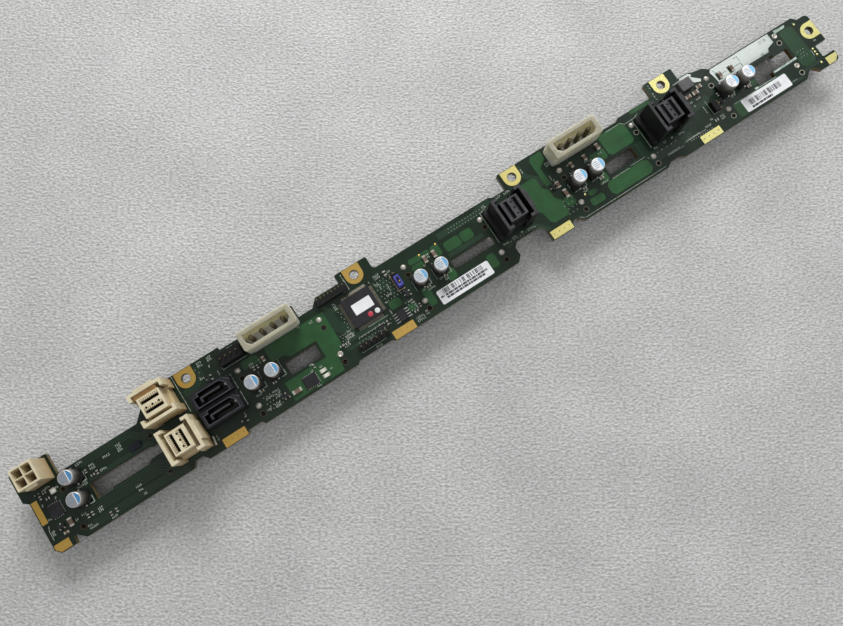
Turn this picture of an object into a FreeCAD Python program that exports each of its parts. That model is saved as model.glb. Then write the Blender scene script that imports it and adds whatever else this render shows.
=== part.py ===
import FreeCAD, Part
import math
import os

import Sketcher

# Drive backplane board for ten 2.5 inch bays in five columns of two.
# The board lies flat on the mating faces of its ten drive receptacles, component side up.
# +X runs along the board, +Y towards the edge with the screw tabs, +Z up.
# The origin is under the middle of the board, on the plane of the receptacles' mating faces.
# Places in plan are measured from the datum: the first board lock of column 2, upper row.

doc = FreeCAD.newDocument("DriveBackplane")

# ---------------------------------------------------------------- driving dimensions

DIMENSIONS = {
    # the bare board
    "board_thickness": 2.4,
    "datum_x": -105.6,
    "datum_y": 6.15,
    "column_pitch": 84.0,
    "row_pitch": 17.6,
    "lock_spacing": 40.6,
    "lock_hole": 1.9,
    "peg_offset": 3.95,
    "peg_hole": 2.1,
    "screw_hole": 4.0,
    "screw_row": 9.0,
    "pad_thickness": 0.06,
    # drive receptacles, both kinds
    "receptacle_height": 9.6,
    "receptacle_length": 46.4,
    "receptacle_width": 7.0,
    "flange_height": 2.4,
    "body_length": 36.4,
    "body_width": 5.2,
    "blade_length": 33.4,
    "blade_width": 1.6,
    "blade_depth": 6.4,
    "guide_length": 2.6,
    "contact_pitch": 1.27,
    "fine_pitch": 0.8,
    # two by two power header
    "power_side": 9.6,
    "power_height": 12.8,
    "power_cell": 3.7,
    "power_pitch": 4.2,
    "power_depth": 10.6,
    "power_pin": 1.1,
    # four pin disk power headers
    "disk_length": 25.0,
    "disk_width": 9.0,
    "disk_height": 11.2,
    "disk_cavity_length": 20.9,
    "disk_cavity_width": 5.6,
    "disk_depth": 9.4,
    "disk_pin_pitch": 5.08,
    "disk_pin": 2.1,
    # twin card edge connectors
    "link_side": 15.1,
    "link_height": 14.4,
    "link_wall": 1.3,
    "link_depth": 9.6,
    "link_core_length": 10.0,
    "link_core_width": 8.8,
    "link_cheek_step": 1.1,
    "link_slot_length": 8.2,
    "link_slot_width": 1.4,
    "link_slot_pitch": 4.2,
    "link_contact_pitch": 0.85,
    # double serial drive socket
    "serial_length": 17.6,
    "serial_width": 16.0,
    "serial_height": 8.4,
    "serial_pitch": 8.4,
    # polymer capacitors
    "can_diameter": 6.3,
    "can_height": 9.0,
    "can_base": 6.6,
    "can_base_height": 1.5,
    # controller chip
    "chip_side": 14.0,
    "chip_height": 1.4,
    "chip_lead_span": 17.0,
    "chip_lead_pitch": 0.5,
    # pin headers
    "pin_pitch": 2.54,
    "pin_side": 0.64,
}

sheet = doc.addObject("Spreadsheet::Sheet", "Dimensions")
for row, (alias, value) in enumerate(DIMENSIONS.items(), start=1):
    sheet.set(f"A{row}", alias)
    sheet.set(f"B{row}", str(value))
    sheet.setAlias(f"B{row}", alias)
doc.recompute()


def dim(alias):
    """The value of one cell of the sheet."""
    return float(sheet.get(alias))


BOARD_BOTTOM = dim("receptacle_height")
BOARD_TOP = BOARD_BOTTOM + dim("board_thickness")
COLUMNS = range(1, 6)
ROWS = ("upper", "lower")

nodes = []


def keep(part):
    """Marks an object as one of the finished pieces."""
    nodes.append(part)
    return part


def place(part, spot, level, turn=0.0):
    """Puts a piece at a spot measured from the datum, at a level, turned about Z in degrees."""
    base = FreeCAD.Vector(dim("datum_x") + spot[0], dim("datum_y") + spot[1], level)
    part.Placement = FreeCAD.Placement(base, FreeCAD.Rotation(FreeCAD.Vector(0, 0, 1), turn))
    return part


# ---------------------------------------------------------------- sketch and feature helpers


def origin_plane(body, role):
    """One of a body's own origin planes, found by its role."""
    for feature in body.Origin.OriginFeatures:
        if feature.Role == role:
            return feature
    raise ValueError(role)


def new_body(label):
    """An empty body that may hold several separate solids."""
    body = doc.addObject("PartDesign::Body", label)
    body.Label = label
    body.AllowCompound = True
    return body


def new_sketch(body, name, level=0.0, role="XY_Plane"):
    """A sketch on one of the body's origin planes, lifted by level along the plane's normal."""
    sketch = body.newObject("Sketcher::SketchObject", name)
    sketch.AttachmentSupport = [(origin_plane(body, role), "")]
    sketch.MapMode = "FlatFace"
    sketch.AttachmentOffset = FreeCAD.Placement(FreeCAD.Vector(0, 0, level), FreeCAD.Rotation())
    return sketch


# A corner radius below this is drawn as one straight cut, which keeps small repeated forms light.
ROUND_FROM = 1.2
CUT_SHARE = 0.6


def draw_loop(sketch, corners):
    """A closed outline. Each corner is (x, y) or (x, y, radius) for a rounded or cut one."""
    points = [FreeCAD.Vector(corner[0], corner[1], 0) for corner in corners]
    radii = [corner[2] if len(corner) > 2 else 0.0 for corner in corners]
    count = len(points)
    arrivals = []
    departures = []
    for index in range(count):
        here = points[index]
        back = (points[index - 1] - here).normalize()
        ahead = (points[(index + 1) % count] - here).normalize()
        half = back.getAngle(ahead) / 2
        reach = radii[index] / math.tan(half) if radii[index] else 0.0
        if radii[index] < ROUND_FROM:
            reach *= CUT_SHARE
        arrivals.append(here + back * reach)
        departures.append(here + ahead * reach)
    curves = []
    for index in range(count):
        if 0 < radii[index] < ROUND_FROM:
            curves.append(Part.LineSegment(arrivals[index], departures[index]))
        elif radii[index]:
            toward = (arrivals[index] + departures[index]) * 0.5 - points[index]
            half = math.atan2(radii[index], (arrivals[index] - points[index]).Length)
            bulge = radii[index] / math.sin(half) - radii[index]
            middle = points[index] + toward.normalize() * bulge
            curves.append(Part.Arc(arrivals[index], middle, departures[index]))
        after = (index + 1) % count
        if (arrivals[after] - departures[index]).Length > 1e-6:
            curves.append(Part.LineSegment(departures[index], arrivals[after]))
    sketch.addGeometry(curves, False)


def box_corners(x_low, x_high, y_low, y_high, radius=0.0):
    """The four corners of an upright rectangle, for draw_loop."""
    return [
        (x_low, y_low, radius),
        (x_high, y_low, radius),
        (x_high, y_high, radius),
        (x_low, y_high, radius),
    ]


def centred(x_middle, y_middle, length, width, radius=0.0):
    """The four corners of a rectangle given by its middle and its two sizes."""
    return box_corners(
        x_middle - length / 2, x_middle + length / 2, y_middle - width / 2, y_middle + width / 2, radius
    )


def draw_circle(sketch, middle, diameter):
    """A full circle."""
    circle = Part.Circle(FreeCAD.Vector(middle[0], middle[1], 0), FreeCAD.Vector(0, 0, 1), diameter / 2)
    sketch.addGeometry(circle, False)


def draw_polygon(sketch, middle, diameter, sides):
    """A regular polygon whose corners lie on a circle, for small round forms that repeat."""
    turns = [2 * math.pi * (step + 0.5) / sides for step in range(sides)]
    draw_loop(sketch, [
        (middle[0] + diameter / 2 * math.cos(turn), middle[1] + diameter / 2 * math.sin(turn))
        for turn in turns
    ])


def draw_sized_rectangle(sketch, length_cell, width_cell):
    """A rectangle about the origin whose length and width are bound to two cells of the sheet."""
    half_length = dim(length_cell) / 2
    half_width = dim(width_cell) / 2
    start = len(sketch.Geometry)
    draw_loop(sketch, box_corners(-half_length, half_length, -half_width, half_width))
    south, east, north, west = range(start, start + 4)
    for line, following in ((south, east), (east, north), (north, west), (west, south)):
        sketch.addConstraint(Sketcher.Constraint("Coincident", line, 2, following, 1))
    for line in (south, north):
        sketch.addConstraint(Sketcher.Constraint("Horizontal", line))
    for line in (east, west):
        sketch.addConstraint(Sketcher.Constraint("Vertical", line))
    sketch.addConstraint(Sketcher.Constraint("Symmetric", south, 1, north, 1, -1, 1))
    length = sketch.addConstraint(Sketcher.Constraint("DistanceX", south, 1, south, 2, 2 * half_length))
    width = sketch.addConstraint(Sketcher.Constraint("DistanceY", east, 1, east, 2, 2 * half_width))
    sketch.setExpression(f"Constraints[{length}]", f"Dimensions.{length_cell}")
    sketch.setExpression(f"Constraints[{width}]", f"Dimensions.{width_cell}")


def pad(body, sketch, height):
    """Raises a sketch by a height, given as an expression on the sheet."""
    feature = body.newObject("PartDesign::Pad", sketch.Name + "Pad")
    feature.Profile = sketch
    feature.setExpression("Length", height)
    sketch.Visibility = False
    doc.recompute()
    return feature


def pocket(body, sketch, depth=None, upwards=False):
    """Cuts a sketch down into the body, or up into it, by an expression or right through."""
    before = body.Shape.Volume
    feature = body.newObject("PartDesign::Pocket", sketch.Name + "Pocket")
    feature.Profile = sketch
    feature.Reversed = upwards
    if depth is None:
        feature.Type = "ThroughAll"
    else:
        feature.setExpression("Length", depth)
    doc.recompute()
    if body.Shape.Volume >= before:
        raise RuntimeError(f"{feature.Name} cut nothing")
    return feature


def bevel_top(body, raised, level, size):
    """Bevels the edges of a padded form that lie at a level."""
    upper = [
        f"Edge{number}"
        for number, edge in enumerate(raised.Shape.Edges, start=1)
        if all(abs(vertex.Z - level) < 1e-6 for vertex in edge.Vertexes)
    ]
    bevel = body.newObject("PartDesign::Chamfer", raised.Name + "Bevel")
    bevel.Base = (raised, upper)
    bevel.Size = size
    doc.recompute()
    return bevel


def finger_row(body, name, profile, start, width, pitch, count, along="X"):
    """A row of alike metal fingers: one profile padded by its width and repeated at a pitch."""
    if along == "X":
        sketch = new_sketch(body, name, start - width / 2, "YZ_Plane")
    else:
        sketch = new_sketch(body, name, -start - width / 2, "XZ_Plane")
    draw_loop(sketch, profile)
    finger = pad(body, sketch, f"{width}")
    row = body.newObject("PartDesign::LinearPattern", name + "Row")
    row.Originals = [finger]
    row.Direction = (origin_plane(body, f"{along}_Axis"), [""])
    row.setExpression("Length", f"{pitch} * {count - 1}")
    row.Occurrences = count
    body.Tip = row
    doc.recompute()


def gather(label, pieces):
    """Joins alike pieces into one node as separate solids."""
    group = doc.addObject("Part::Compound", label)
    group.Label = label
    group.Links = pieces
    return keep(group)


def block(name, length, width, height, spot, level=None, turn=0.0):
    """A plain block centred on a spot and standing on a level."""
    box = doc.addObject("Part::Box", name)
    box.Length = length
    box.Width = width
    box.Height = height
    place(box, spot, BOARD_TOP if level is None else level, turn)
    box.Placement = box.Placement.multiply(
        FreeCAD.Placement(FreeCAD.Vector(-length / 2, -width / 2, 0), FreeCAD.Rotation())
    )
    return box


# ---------------------------------------------------------------- the bare board

# The outline, counter-clockwise from the bottom left corner: tabs for the connectors and screws
# along the top edge, small notches that clear the drive cage along the bottom edge.
OUTLINE = [
    (-97.2, -25.6), (-90.3, -25.6), (-90.1, -22.6), (-88.6, -22.6), (-85.6, -25.6),
    (-35.4, -25.6), (-33.7, -23.1), (-30.2, -23.1), (-28.0, -25.6),
    (-9.3, -25.6), (-8.8, -24.0), (-2.3, -24.0), (-1.2, -25.6),
    (44.8, -25.6), (46.2, -24.4), (62.6, -24.4), (64.2, -25.6),
    (128.6, -25.6), (131.0, -23.2), (131.0, -19.2, 1.0), (133.2, -17.0, 1.0), (145.8, -17.0, 1.0),
    (147.4, -18.6, 0.6), (147.4, -25.6),
    (158.9, -25.6), (159.2, -23.4, 0.6), (160.3, -22.7, 0.6), (162.3, -22.7, 0.8), (165.3, -25.6),
    (211.4, -25.6), (213.9, -24.0, 0.8), (218.8, -24.0, 0.8), (221.3, -25.6),
    (292.8, -25.6), (296.2, -22.6, 0.8), (298.7, -22.6, 0.8), (301.8, -25.6),
    (312.7, -25.6, 2.4), (312.7, -20.5), (306.3, -20.5, 0.6), (306.3, -14.1, 0.6), (312.7, -14.1),
    (312.7, 1.2, 2.2), (307.0, 1.2), (305.0, 3.4),
    (255.8, 3.4), (253.2, 5.4), (248.4, 6.2), (246.2, 7.3), (240.6, 7.3),
    (240.6, 13.3, 0.6), (224.8, 13.3, 0.6), (224.8, 6.4), (205.4, 6.4), (203.6, 5.3),
    (192.6, 5.3), (192.6, 13.3, 0.8), (142.1, 13.3, 1.0), (142.1, 5.6), (135.0, 5.6), (133.4, 6.7),
    (72.5, 6.7, 1.8), (72.5, 13.3, 0.9), (56.2, 13.3, 0.9), (56.2, 9.3), (44.2, 9.3),
    (40.8, 5.9), (33.8, 5.9), (33.8, 11.9), (-2.0, 11.9), (-2.2, 13.3), (-42.2, 13.3, 0.8),
    (-42.2, 8.3), (-46.9, 3.6), (-84.2, 3.6), (-84.2, 13.3, 0.8), (-101.5, 13.3, 0.8),
    (-101.5, 0.3), (-99.3, -1.5), (-99.3, -23.4),
]

# The air slots between the two rows of receptacles, one to each column.
AIR_SLOTS = [
    [(-74.7, -14.7, 0.6), (-68.2, -14.7), (-67.2, -13.9), (-50.4, -13.9), (-48.6, -12.4),
     (-42.4, -12.4, 0.6), (-42.4, -8.3, 0.6), (-46.0, -8.3), (-47.4, -7.6), (-74.7, -7.3, 0.6)],
    box_corners(18.5, 33.6, -14.2, -8.0, 0.8),
    box_corners(103.1, 124.7, -12.9, -8.4, 0.8),
    box_corners(186.7, 202.4, -14.2, -8.4, 0.8),
    [(271.5, -16.5, 0.6), (280.8, -16.5), (280.8, -13.8), (293.8, -13.8, 0.6), (293.8, -7.9, 0.6),
     (286.0, -7.9), (285.6, -6.9), (271.5, -6.9, 0.6)],
]

SCREW_TABS = [dim("column_pitch") * step - 20.0 for step in range(4)]
END_SCREW = (308.6, -6.4)


def receptacle_spot(column, row):
    """The first board lock of a bay's receptacle, from the datum."""
    drop = dim("row_pitch") if row == "lower" else 0.0
    return (dim("column_pitch") * (column - 2), -drop)


def peg_spots(column, row):
    """The two locating pegs of a bay's receptacle; column 1's receptacles sit a little left."""
    x, y = receptacle_spot(column, row)
    shift = -1.0 if column == 1 else 0.0
    peg_y = y - dim("peg_offset") + (0.4 if column == 1 else 0.0)
    return [(x + shift, peg_y), (x + shift + dim("lock_spacing"), peg_y)]


def make_board():
    """The laminate: padded outline, then the air slots, screw holes, lock holes and peg holes."""
    body = keep(new_body("circuit_board"))
    outline = new_sketch(body, "BoardOutline")
    draw_loop(outline, OUTLINE)
    pad(body, outline, "Dimensions.board_thickness")
    slots = new_sketch(body, "AirSlots", dim("board_thickness"))
    for corners in AIR_SLOTS:
        draw_loop(slots, corners)
    pocket(body, slots)
    holes = new_sketch(body, "BoardHoles", dim("board_thickness"))
    for x in SCREW_TABS:
        draw_circle(holes, (x, dim("screw_row")), dim("screw_hole"))
    draw_circle(holes, END_SCREW, dim("screw_hole"))
    for column in COLUMNS:
        for row in ROWS:
            for spot in peg_spots(column, row):
                draw_polygon(holes, spot, dim("peg_hole"), 8)
            if column > 1:
                x, y = receptacle_spot(column, row)
                draw_polygon(holes, (x, y), dim("lock_hole"), 6)
                draw_polygon(holes, (x + dim("lock_spacing"), y), dim("lock_hole"), 6)
    pocket(body, holes)
    place(body, (0, 0), BOARD_BOTTOM)


# The bare metal pads on the component side: a D round each screw and strips along the edges.
PAD_REACH = 4.15
EDGE_PADS = [
    box_corners(-20.2, -9.4, -25.5, -21.6),
    box_corners(64.3, 75.0, -25.5, -21.6),
    box_corners(147.9, 158.7, -25.5, -21.6),
    box_corners(232.2, 243.2, -25.5, -21.6),
    box_corners(-98.9, -96.3, -12.1, -1.6),
    [(-98.9, -23.4), (-97.0, -25.3), (-92.2, -25.3), (-92.2, -21.5), (-98.9, -21.5)],
    [(306.4, -25.4), (310.2, -25.4), (312.5, -23.4, 0.6), (312.5, -21.6), (306.4, -21.6)],
]


def make_pads():
    """Thin metal pads on top of the board, as separate solids in one node."""
    body = keep(new_body("ground_pads"))
    sketch = new_sketch(body, "PadShapes")
    row = dim("screw_row")
    for x in SCREW_TABS:
        low = row - PAD_REACH
        draw_loop(sketch, [
            (x - PAD_REACH, low, PAD_REACH - 0.05), (x + PAD_REACH, low, PAD_REACH - 0.05),
            (x + PAD_REACH, 13.1), (x - PAD_REACH, 13.1),
        ])
        draw_polygon(sketch, (x, row), dim("screw_hole") + 0.4, 12)
    x, y = END_SCREW
    draw_loop(sketch, [
        (x - PAD_REACH, y - PAD_REACH, PAD_REACH - 0.05), (312.6, y - PAD_REACH),
        (312.6, y + PAD_REACH), (x - PAD_REACH, y + PAD_REACH, PAD_REACH - 0.05),
    ])
    draw_polygon(sketch, END_SCREW, dim("screw_hole") + 0.4, 12)
    for corners in EDGE_PADS:
        draw_loop(sketch, corners)
    pad(body, sketch, "Dimensions.pad_thickness")
    place(body, (0, 0), BOARD_TOP)


# ---------------------------------------------------------------- drive receptacles

# Each receptacle hangs under the board. Its sketches are drawn about its middle, with z = 0 on
# the mating face: a flange against the board, a long body with the blade slot, and a guide
# post at each end that steers the drive in.
GUIDE_MIDDLE = 20.9
KEY_X = -6.9
POWER_START = -5.2
SIGNAL_START = -15.4
SIGNAL_CONTACTS = 7
POWER_CONTACTS = 15


def receptacle_middle(column, row):
    """The middle of a bay's receptacle, half way between its pegs."""
    first, second = peg_spots(column, row)
    return ((first[0] + second[0]) / 2, first[1] + 1.5)


def make_receptacle(column, row):
    """One drive receptacle: its moulded housing and its contacts."""
    kind = "flash" if column == 1 else "drive"
    name = f"{kind}_receptacle_{column}_{row}"
    height = dim("receptacle_height")
    housing = keep(new_body(name))
    flange = new_sketch(housing, f"Flange{column}{row}", height - dim("flange_height"))
    draw_sized_rectangle(flange, "receptacle_length", "receptacle_width")
    pad(housing, flange, "Dimensions.flange_height")
    towers = new_sketch(housing, f"Towers{column}{row}", 0.0)
    draw_loop(towers, centred(0, 0, dim("body_length"), dim("body_width")))
    for side in (-1, 1):
        draw_loop(towers, centred(side * GUIDE_MIDDLE, 0, dim("guide_length"), dim("body_width"), 0.7))
    pad(housing, towers, "Dimensions.receptacle_height - Dimensions.flange_height")
    pegs = new_sketch(housing, f"Pegs{column}{row}", height)
    for side in (-1, 1):
        draw_polygon(pegs, (side * dim("lock_spacing") / 2, -1.5), dim("peg_hole") - 0.3, 6)
    pad(housing, pegs, "Dimensions.board_thickness * 0.7")
    blade = new_sketch(housing, f"Blade{column}{row}", 0.0)
    half = dim("blade_length") / 2
    lip = dim("blade_width") / 2
    draw_loop(blade, [
        (-half, -lip), (half, -lip), (half, lip), (KEY_X + 1.0, lip), (KEY_X + 1.0, lip + 1.0),
        (KEY_X, lip + 1.0), (KEY_X, lip), (-half, lip),
    ])
    pocket(housing, blade, "Dimensions.blade_depth", upwards=True)
    middle = receptacle_middle(column, row)
    place(housing, middle, 0.0)

    contacts = keep(new_body(f"{kind}_contacts_{column}_{row}"))
    pitch = "Dimensions.contact_pitch"
    fine = "Dimensions.fine_pitch"
    back_start, back_count = (SIGNAL_START, 38) if column == 1 else (SIGNAL_START + 10.2, SIGNAL_CONTACTS)
    bow = [(lip, 1.0), (lip, dim("blade_depth")), (lip - 0.35, 2.6)]
    back_bow = [(-y, z) for y, z in bow]
    tag = f"{column}{row}"
    finger_row(contacts, f"Signals{tag}", bow, SIGNAL_START, 0.6, pitch, SIGNAL_CONTACTS)
    finger_row(contacts, f"Powers{tag}", bow, POWER_START, 0.6, pitch, POWER_CONTACTS)
    finger_row(contacts, f"Backs{tag}", back_bow, back_start, 0.4, fine, back_count)
    place(contacts, middle, 0.0)


# A lock's blade, and the six sided dome of solder over it: width across its foot, height, slope.
LOCK_BLADE = (1.5, 0.5)
LOCK_DOME = 2.7
LOCK_DOME_HEIGHT = 0.8
LOCK_DOME_SLOPE = 38.0


def make_board_locks():
    """The receptacles' flat lock blades, each soldered into its hole under a dome, set out in a grid."""
    body = keep(new_body("board_locks"))
    blade = new_sketch(body, "LockBlade", -dim("board_thickness"))
    draw_loop(blade, centred(0, 0, *LOCK_BLADE))
    post = pad(body, blade, "Dimensions.board_thickness")
    rim = new_sketch(body, "LockDome")
    draw_polygon(rim, (0, 0), LOCK_DOME, 6)
    dome = pad(body, rim, f"{LOCK_DOME_HEIGHT}")
    dome.TaperAngle = -LOCK_DOME_SLOPE
    doc.recompute()
    grid = body.newObject("PartDesign::MultiTransform", "LockGrid")
    grid.Originals = [post, dome]
    steps = []
    for name, role, length, count, reverse in (
        ("LockColumns", "X_Axis", "Dimensions.column_pitch * 3", 4, False),
        ("LockEnds", "X_Axis", "Dimensions.lock_spacing", 2, False),
        ("LockRows", "Y_Axis", "Dimensions.row_pitch", 2, True),
    ):
        step = body.newObject("PartDesign::LinearPattern", name)
        step.Direction = (origin_plane(body, role), [""])
        step.Reversed = reverse
        step.setExpression("Length", length)
        step.Occurrences = count
        steps.append(step)
    grid.Transformations = steps
    body.Tip = grid
    doc.recompute()
    place(body, (0, 0), BOARD_TOP)


# ---------------------------------------------------------------- power headers


def make_power_header():
    """The two by two power header at the left end: four cells, a latch ramp and four pins."""
    spot = (-90.2, 7.2)
    housing = keep(new_body("power_header"))
    shell = new_sketch(housing, "PowerShell")
    draw_sized_rectangle(shell, "power_side", "power_side")
    pad(housing, shell, "Dimensions.power_height")
    ramp = new_sketch(housing, "PowerRamp", -2.5, role="YZ_Plane")
    side = dim("power_side") / 2
    draw_loop(ramp, [(-side, 7.4), (-side - 1.1, 10.8), (-side - 1.1, 11.6), (-side, 11.9)])
    ramp_pad = housing.newObject("PartDesign::Pad", "PowerRampPad")
    ramp_pad.Profile = ramp
    ramp_pad.Length = 5.0
    doc.recompute()
    cells = new_sketch(housing, "PowerCells", dim("power_height"))
    half = dim("power_cell") / 2
    for x_side in (-1, 1):
        for y_side in (-1, 1):
            x = x_side * dim("power_pitch") / 2
            y = y_side * dim("power_pitch") / 2
            if x_side * y_side > 0:
                corner = (x + half, y + half, 0.9)
            else:
                corner = (x + half, y + half)
            draw_loop(cells, [(x - half, y - half), (x + half, y - half), corner, (x - half, y + half)])
    pocket(housing, cells, "Dimensions.power_depth")
    place(housing, spot, BOARD_TOP)

    pins = keep(new_body("power_header_pins"))
    sketch = new_sketch(pins, "PowerPins", dim("power_height") - dim("power_depth"))
    for x_side in (-1, 1):
        for y_side in (-1, 1):
            draw_loop(sketch, centred(
                x_side * dim("power_pitch") / 2, y_side * dim("power_pitch") / 2,
                dim("power_pin"), dim("power_pin"),
            ))
    pad(pins, sketch, "Dimensions.power_depth * 0.5")
    place(pins, spot, BOARD_TOP)


def make_disk_header(number, spot):
    """A four pin disk power header: shell, keyed cavity and round tipped pins."""
    housing = keep(new_body(f"disk_power_header_{number}"))
    shell = new_sketch(housing, f"DiskShell{number}")
    draw_loop(shell, centred(0, 0, dim("disk_length"), dim("disk_width"), 1.2))
    pad(housing, shell, "Dimensions.disk_height")
    cavity = new_sketch(housing, f"DiskCavity{number}", dim("disk_height"))
    half = dim("disk_cavity_length") / 2
    low = -dim("disk_cavity_width") / 2 - 0.25
    high = low + dim("disk_cavity_width")
    draw_loop(cavity, [
        (-half + 1.9, low), (half - 1.9, low), (half, low + 1.9),
        (half, high), (-half, high), (-half, low + 1.9),
    ])
    pocket(housing, cavity, "Dimensions.disk_depth")
    feet = new_sketch(housing, f"DiskFeet{number}")
    notch = 1.6
    for side in (-1, 1):
        notch_x = side * (dim("disk_length") / 2 - 1.3)
        draw_loop(feet, centred(notch_x, -dim("disk_width") / 2 + 0.5, notch, notch))
    pocket(housing, feet, "Dimensions.disk_height * 0.1", upwards=True)
    place(housing, spot, BOARD_TOP)

    floor = dim("disk_height") - dim("disk_depth")
    pins = keep(new_body(f"disk_power_pins_{number}"))
    shanks = new_sketch(pins, f"DiskPins{number}", floor)
    for step in range(4):
        draw_polygon(shanks, ((step - 1.5) * dim("disk_pin_pitch"), 0.1), dim("disk_pin"), 12)
    raised = pad(pins, shanks, "Dimensions.disk_depth - 0.9")
    bevel_top(pins, raised, dim("disk_height") - 0.9, 0.55)
    place(pins, spot, BOARD_TOP)


# ---------------------------------------------------------------- twin card edge connectors


# Spring contacts along each wall of each card slot.
LINK_SPRINGS = 9


def make_link_connector(name, spot, turn, flange):
    """A shrouded connector with two card edge slots in a tower; its latch side faces its own +Y.
    Both cheeks beside the tower are stepped back and open, so the tower's flanks show."""
    side = dim("link_side")
    wall = dim("link_wall")
    height = dim("link_height")
    housing = keep(new_body(name))
    shell = new_sketch(housing, f"Shell_{name}")
    draw_sized_rectangle(shell, "link_side", "link_side")
    pad(housing, shell, "Dimensions.link_height")
    back = new_sketch(housing, f"Latch_{name}", 2.0)
    draw_loop(back, box_corners(-4.2, 4.2, side / 2 - 0.2, side / 2 + 0.7))
    pad(housing, back, "Dimensions.link_height - 2")
    foot = new_sketch(housing, f"Foot_{name}")
    draw_loop(foot, box_corners(-side / 2, side / 2, -side / 2 - flange, -side / 2 + 0.2))
    pad(housing, foot, "Dimensions.link_height * 0.2")

    core_half = dim("link_core_length") / 2
    core_low = -side / 2 + wall + 1.7
    core_high = core_low + dim("link_core_width")
    inner = side / 2 - wall
    moats = new_sketch(housing, f"Moats_{name}", height)
    draw_loop(moats, box_corners(-inner, inner, -inner, core_low))
    draw_loop(moats, box_corners(-inner, inner, core_high, inner))
    pocket(housing, moats, "Dimensions.link_depth")
    windows = new_sketch(housing, f"Windows_{name}", height)
    cheeks = new_sketch(housing, f"Cheeks_{name}", height)
    cheek = side / 2 - dim("link_cheek_step")
    for way in (-1, 1):
        window_middle = way * (side / 2 + core_half + 0.2) / 2
        window_length = side / 2 - core_half + 0.2
        draw_loop(windows, centred(
            window_middle, (core_low + core_high) / 2, window_length, dim("link_core_width")
        ))
        draw_loop(cheeks, centred(way * (cheek + 1.0), -0.6, 2.0, dim("link_core_width") - 1.0))
    pocket(housing, windows, "Dimensions.link_depth * 0.8")
    pocket(housing, cheeks, "Dimensions.link_height")
    tower_top = new_sketch(housing, f"TowerTop_{name}", height)
    draw_loop(tower_top, box_corners(-core_half - 0.1, core_half + 0.1, core_low - 0.1, core_high + 0.1))
    pocket(housing, tower_top, "0.8")
    slots = new_sketch(housing, f"Slots_{name}", height)
    middle = (core_low + core_high) / 2
    for way in (-1, 1):
        draw_loop(slots, centred(
            0, middle + way * dim("link_slot_pitch") / 2, dim("link_slot_length"), dim("link_slot_width")
        ))
    pocket(housing, slots, "Dimensions.link_depth")
    tail_door = new_sketch(housing, f"TailDoor_{name}")
    draw_loop(tail_door, box_corners(-3.6, 3.6, -side / 2 - flange - 1.0, -side / 2 + 1.2))
    pocket(housing, tail_door, "Dimensions.link_height * 0.15", upwards=True)
    place(housing, spot, BOARD_TOP, turn)

    contacts = keep(new_body(f"{name}_contacts"))
    lip = dim("link_slot_width") / 2
    low = height - dim("link_depth")
    for way in (-1, 1):
        y = middle + way * dim("link_slot_pitch") / 2
        for face in (-1, 1):
            bow = [
                (y + face * lip, low), (y + face * lip, height - 1.2),
                (y + face * (lip - 0.3), height - 2.6),
            ]
            row = f"Springs_{name}_{way + 1}{face + 1}"
            first = -(LINK_SPRINGS - 1) / 2 * dim("link_contact_pitch")
            finger_row(contacts, row, bow, first, 0.4, "Dimensions.link_contact_pitch", LINK_SPRINGS)
    place(contacts, spot, BOARD_TOP, turn)


# ---------------------------------------------------------------- double serial drive socket


def make_serial_socket():
    """Two L keyed serial sockets moulded in one block, with seven contacts in each."""
    spot = (-12.5, -7.8)
    housing = keep(new_body("serial_socket"))
    shell = new_sketch(housing, "SerialShell")
    draw_sized_rectangle(shell, "serial_length", "serial_width")
    pad(housing, shell, "Dimensions.serial_height")
    wells = new_sketch(housing, "SerialWells", dim("serial_height"))
    half = dim("serial_length") / 2
    pitch = dim("serial_pitch")
    for way in (-1, 1):
        y = way * pitch / 2
        draw_loop(wells, [
            (-half + 1.5, y - 2.7), (half - 1.7, y - 2.7), (half - 1.7, y + 0.6), (half - 3.8, y + 2.7),
            (-half + 3.6, y + 2.7), (-half + 3.6, y + 1.4), (-half + 1.5, y + 1.4),
        ])
    pocket(housing, wells, "Dimensions.serial_height - 2")
    tongues = new_sketch(housing, "SerialTongues", 1.9)
    for way in (-1, 1):
        y = way * pitch / 2
        draw_loop(tongues, [
            (-half + 3.6, y - 1.6), (-half + 4.6, y - 1.6), (-half + 4.6, y + 0.1), (half - 4.6, y + 0.1),
            (half - 4.6, y + 1.0), (-half + 3.6, y + 1.0),
        ])
    pad(housing, tongues, "Dimensions.serial_height - 2.6")
    relief = new_sketch(housing, "SerialRelief", dim("serial_height"))
    draw_loop(relief, box_corners(-half - 0.1, half + 0.1, -0.9, 0.9))
    pocket(housing, relief, "Dimensions.serial_height * 0.5")
    keys = new_sketch(housing, "SerialKeys", dim("serial_height"))
    for way in (-1, 1):
        y = way * pitch / 2
        draw_loop(keys, [(half + 0.1, y + 1.2), (half + 0.1, y + 3.9), (half - 2.5, y + 3.9)])
    pocket(housing, keys, "Dimensions.serial_height * 0.5")
    place(housing, spot, BOARD_TOP)

    contacts = keep(new_body("serial_contacts"))
    sketch = new_sketch(contacts, "SerialContacts", 2.0)
    for way in (-1, 1):
        for step in range(7):
            x = -3.6 + step * 1.2
            draw_loop(sketch, centred(x, way * pitch / 2 - 0.05, 0.5, 0.3))
    pad(contacts, sketch, "Dimensions.serial_height - 3.4")
    place(contacts, spot, BOARD_TOP)


# ---------------------------------------------------------------- polymer capacitors

CAPACITORS = [
    (-78.6, -1.5), (-79.9, -11.0),
    (3.6, -8.8), (13.2, -8.8),
    (87.3, -8.8), (97.6, -9.0),
    (171.2, -8.7), (180.8, -8.6),
    (255.8, -8.9), (265.1, -9.0),
]


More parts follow.
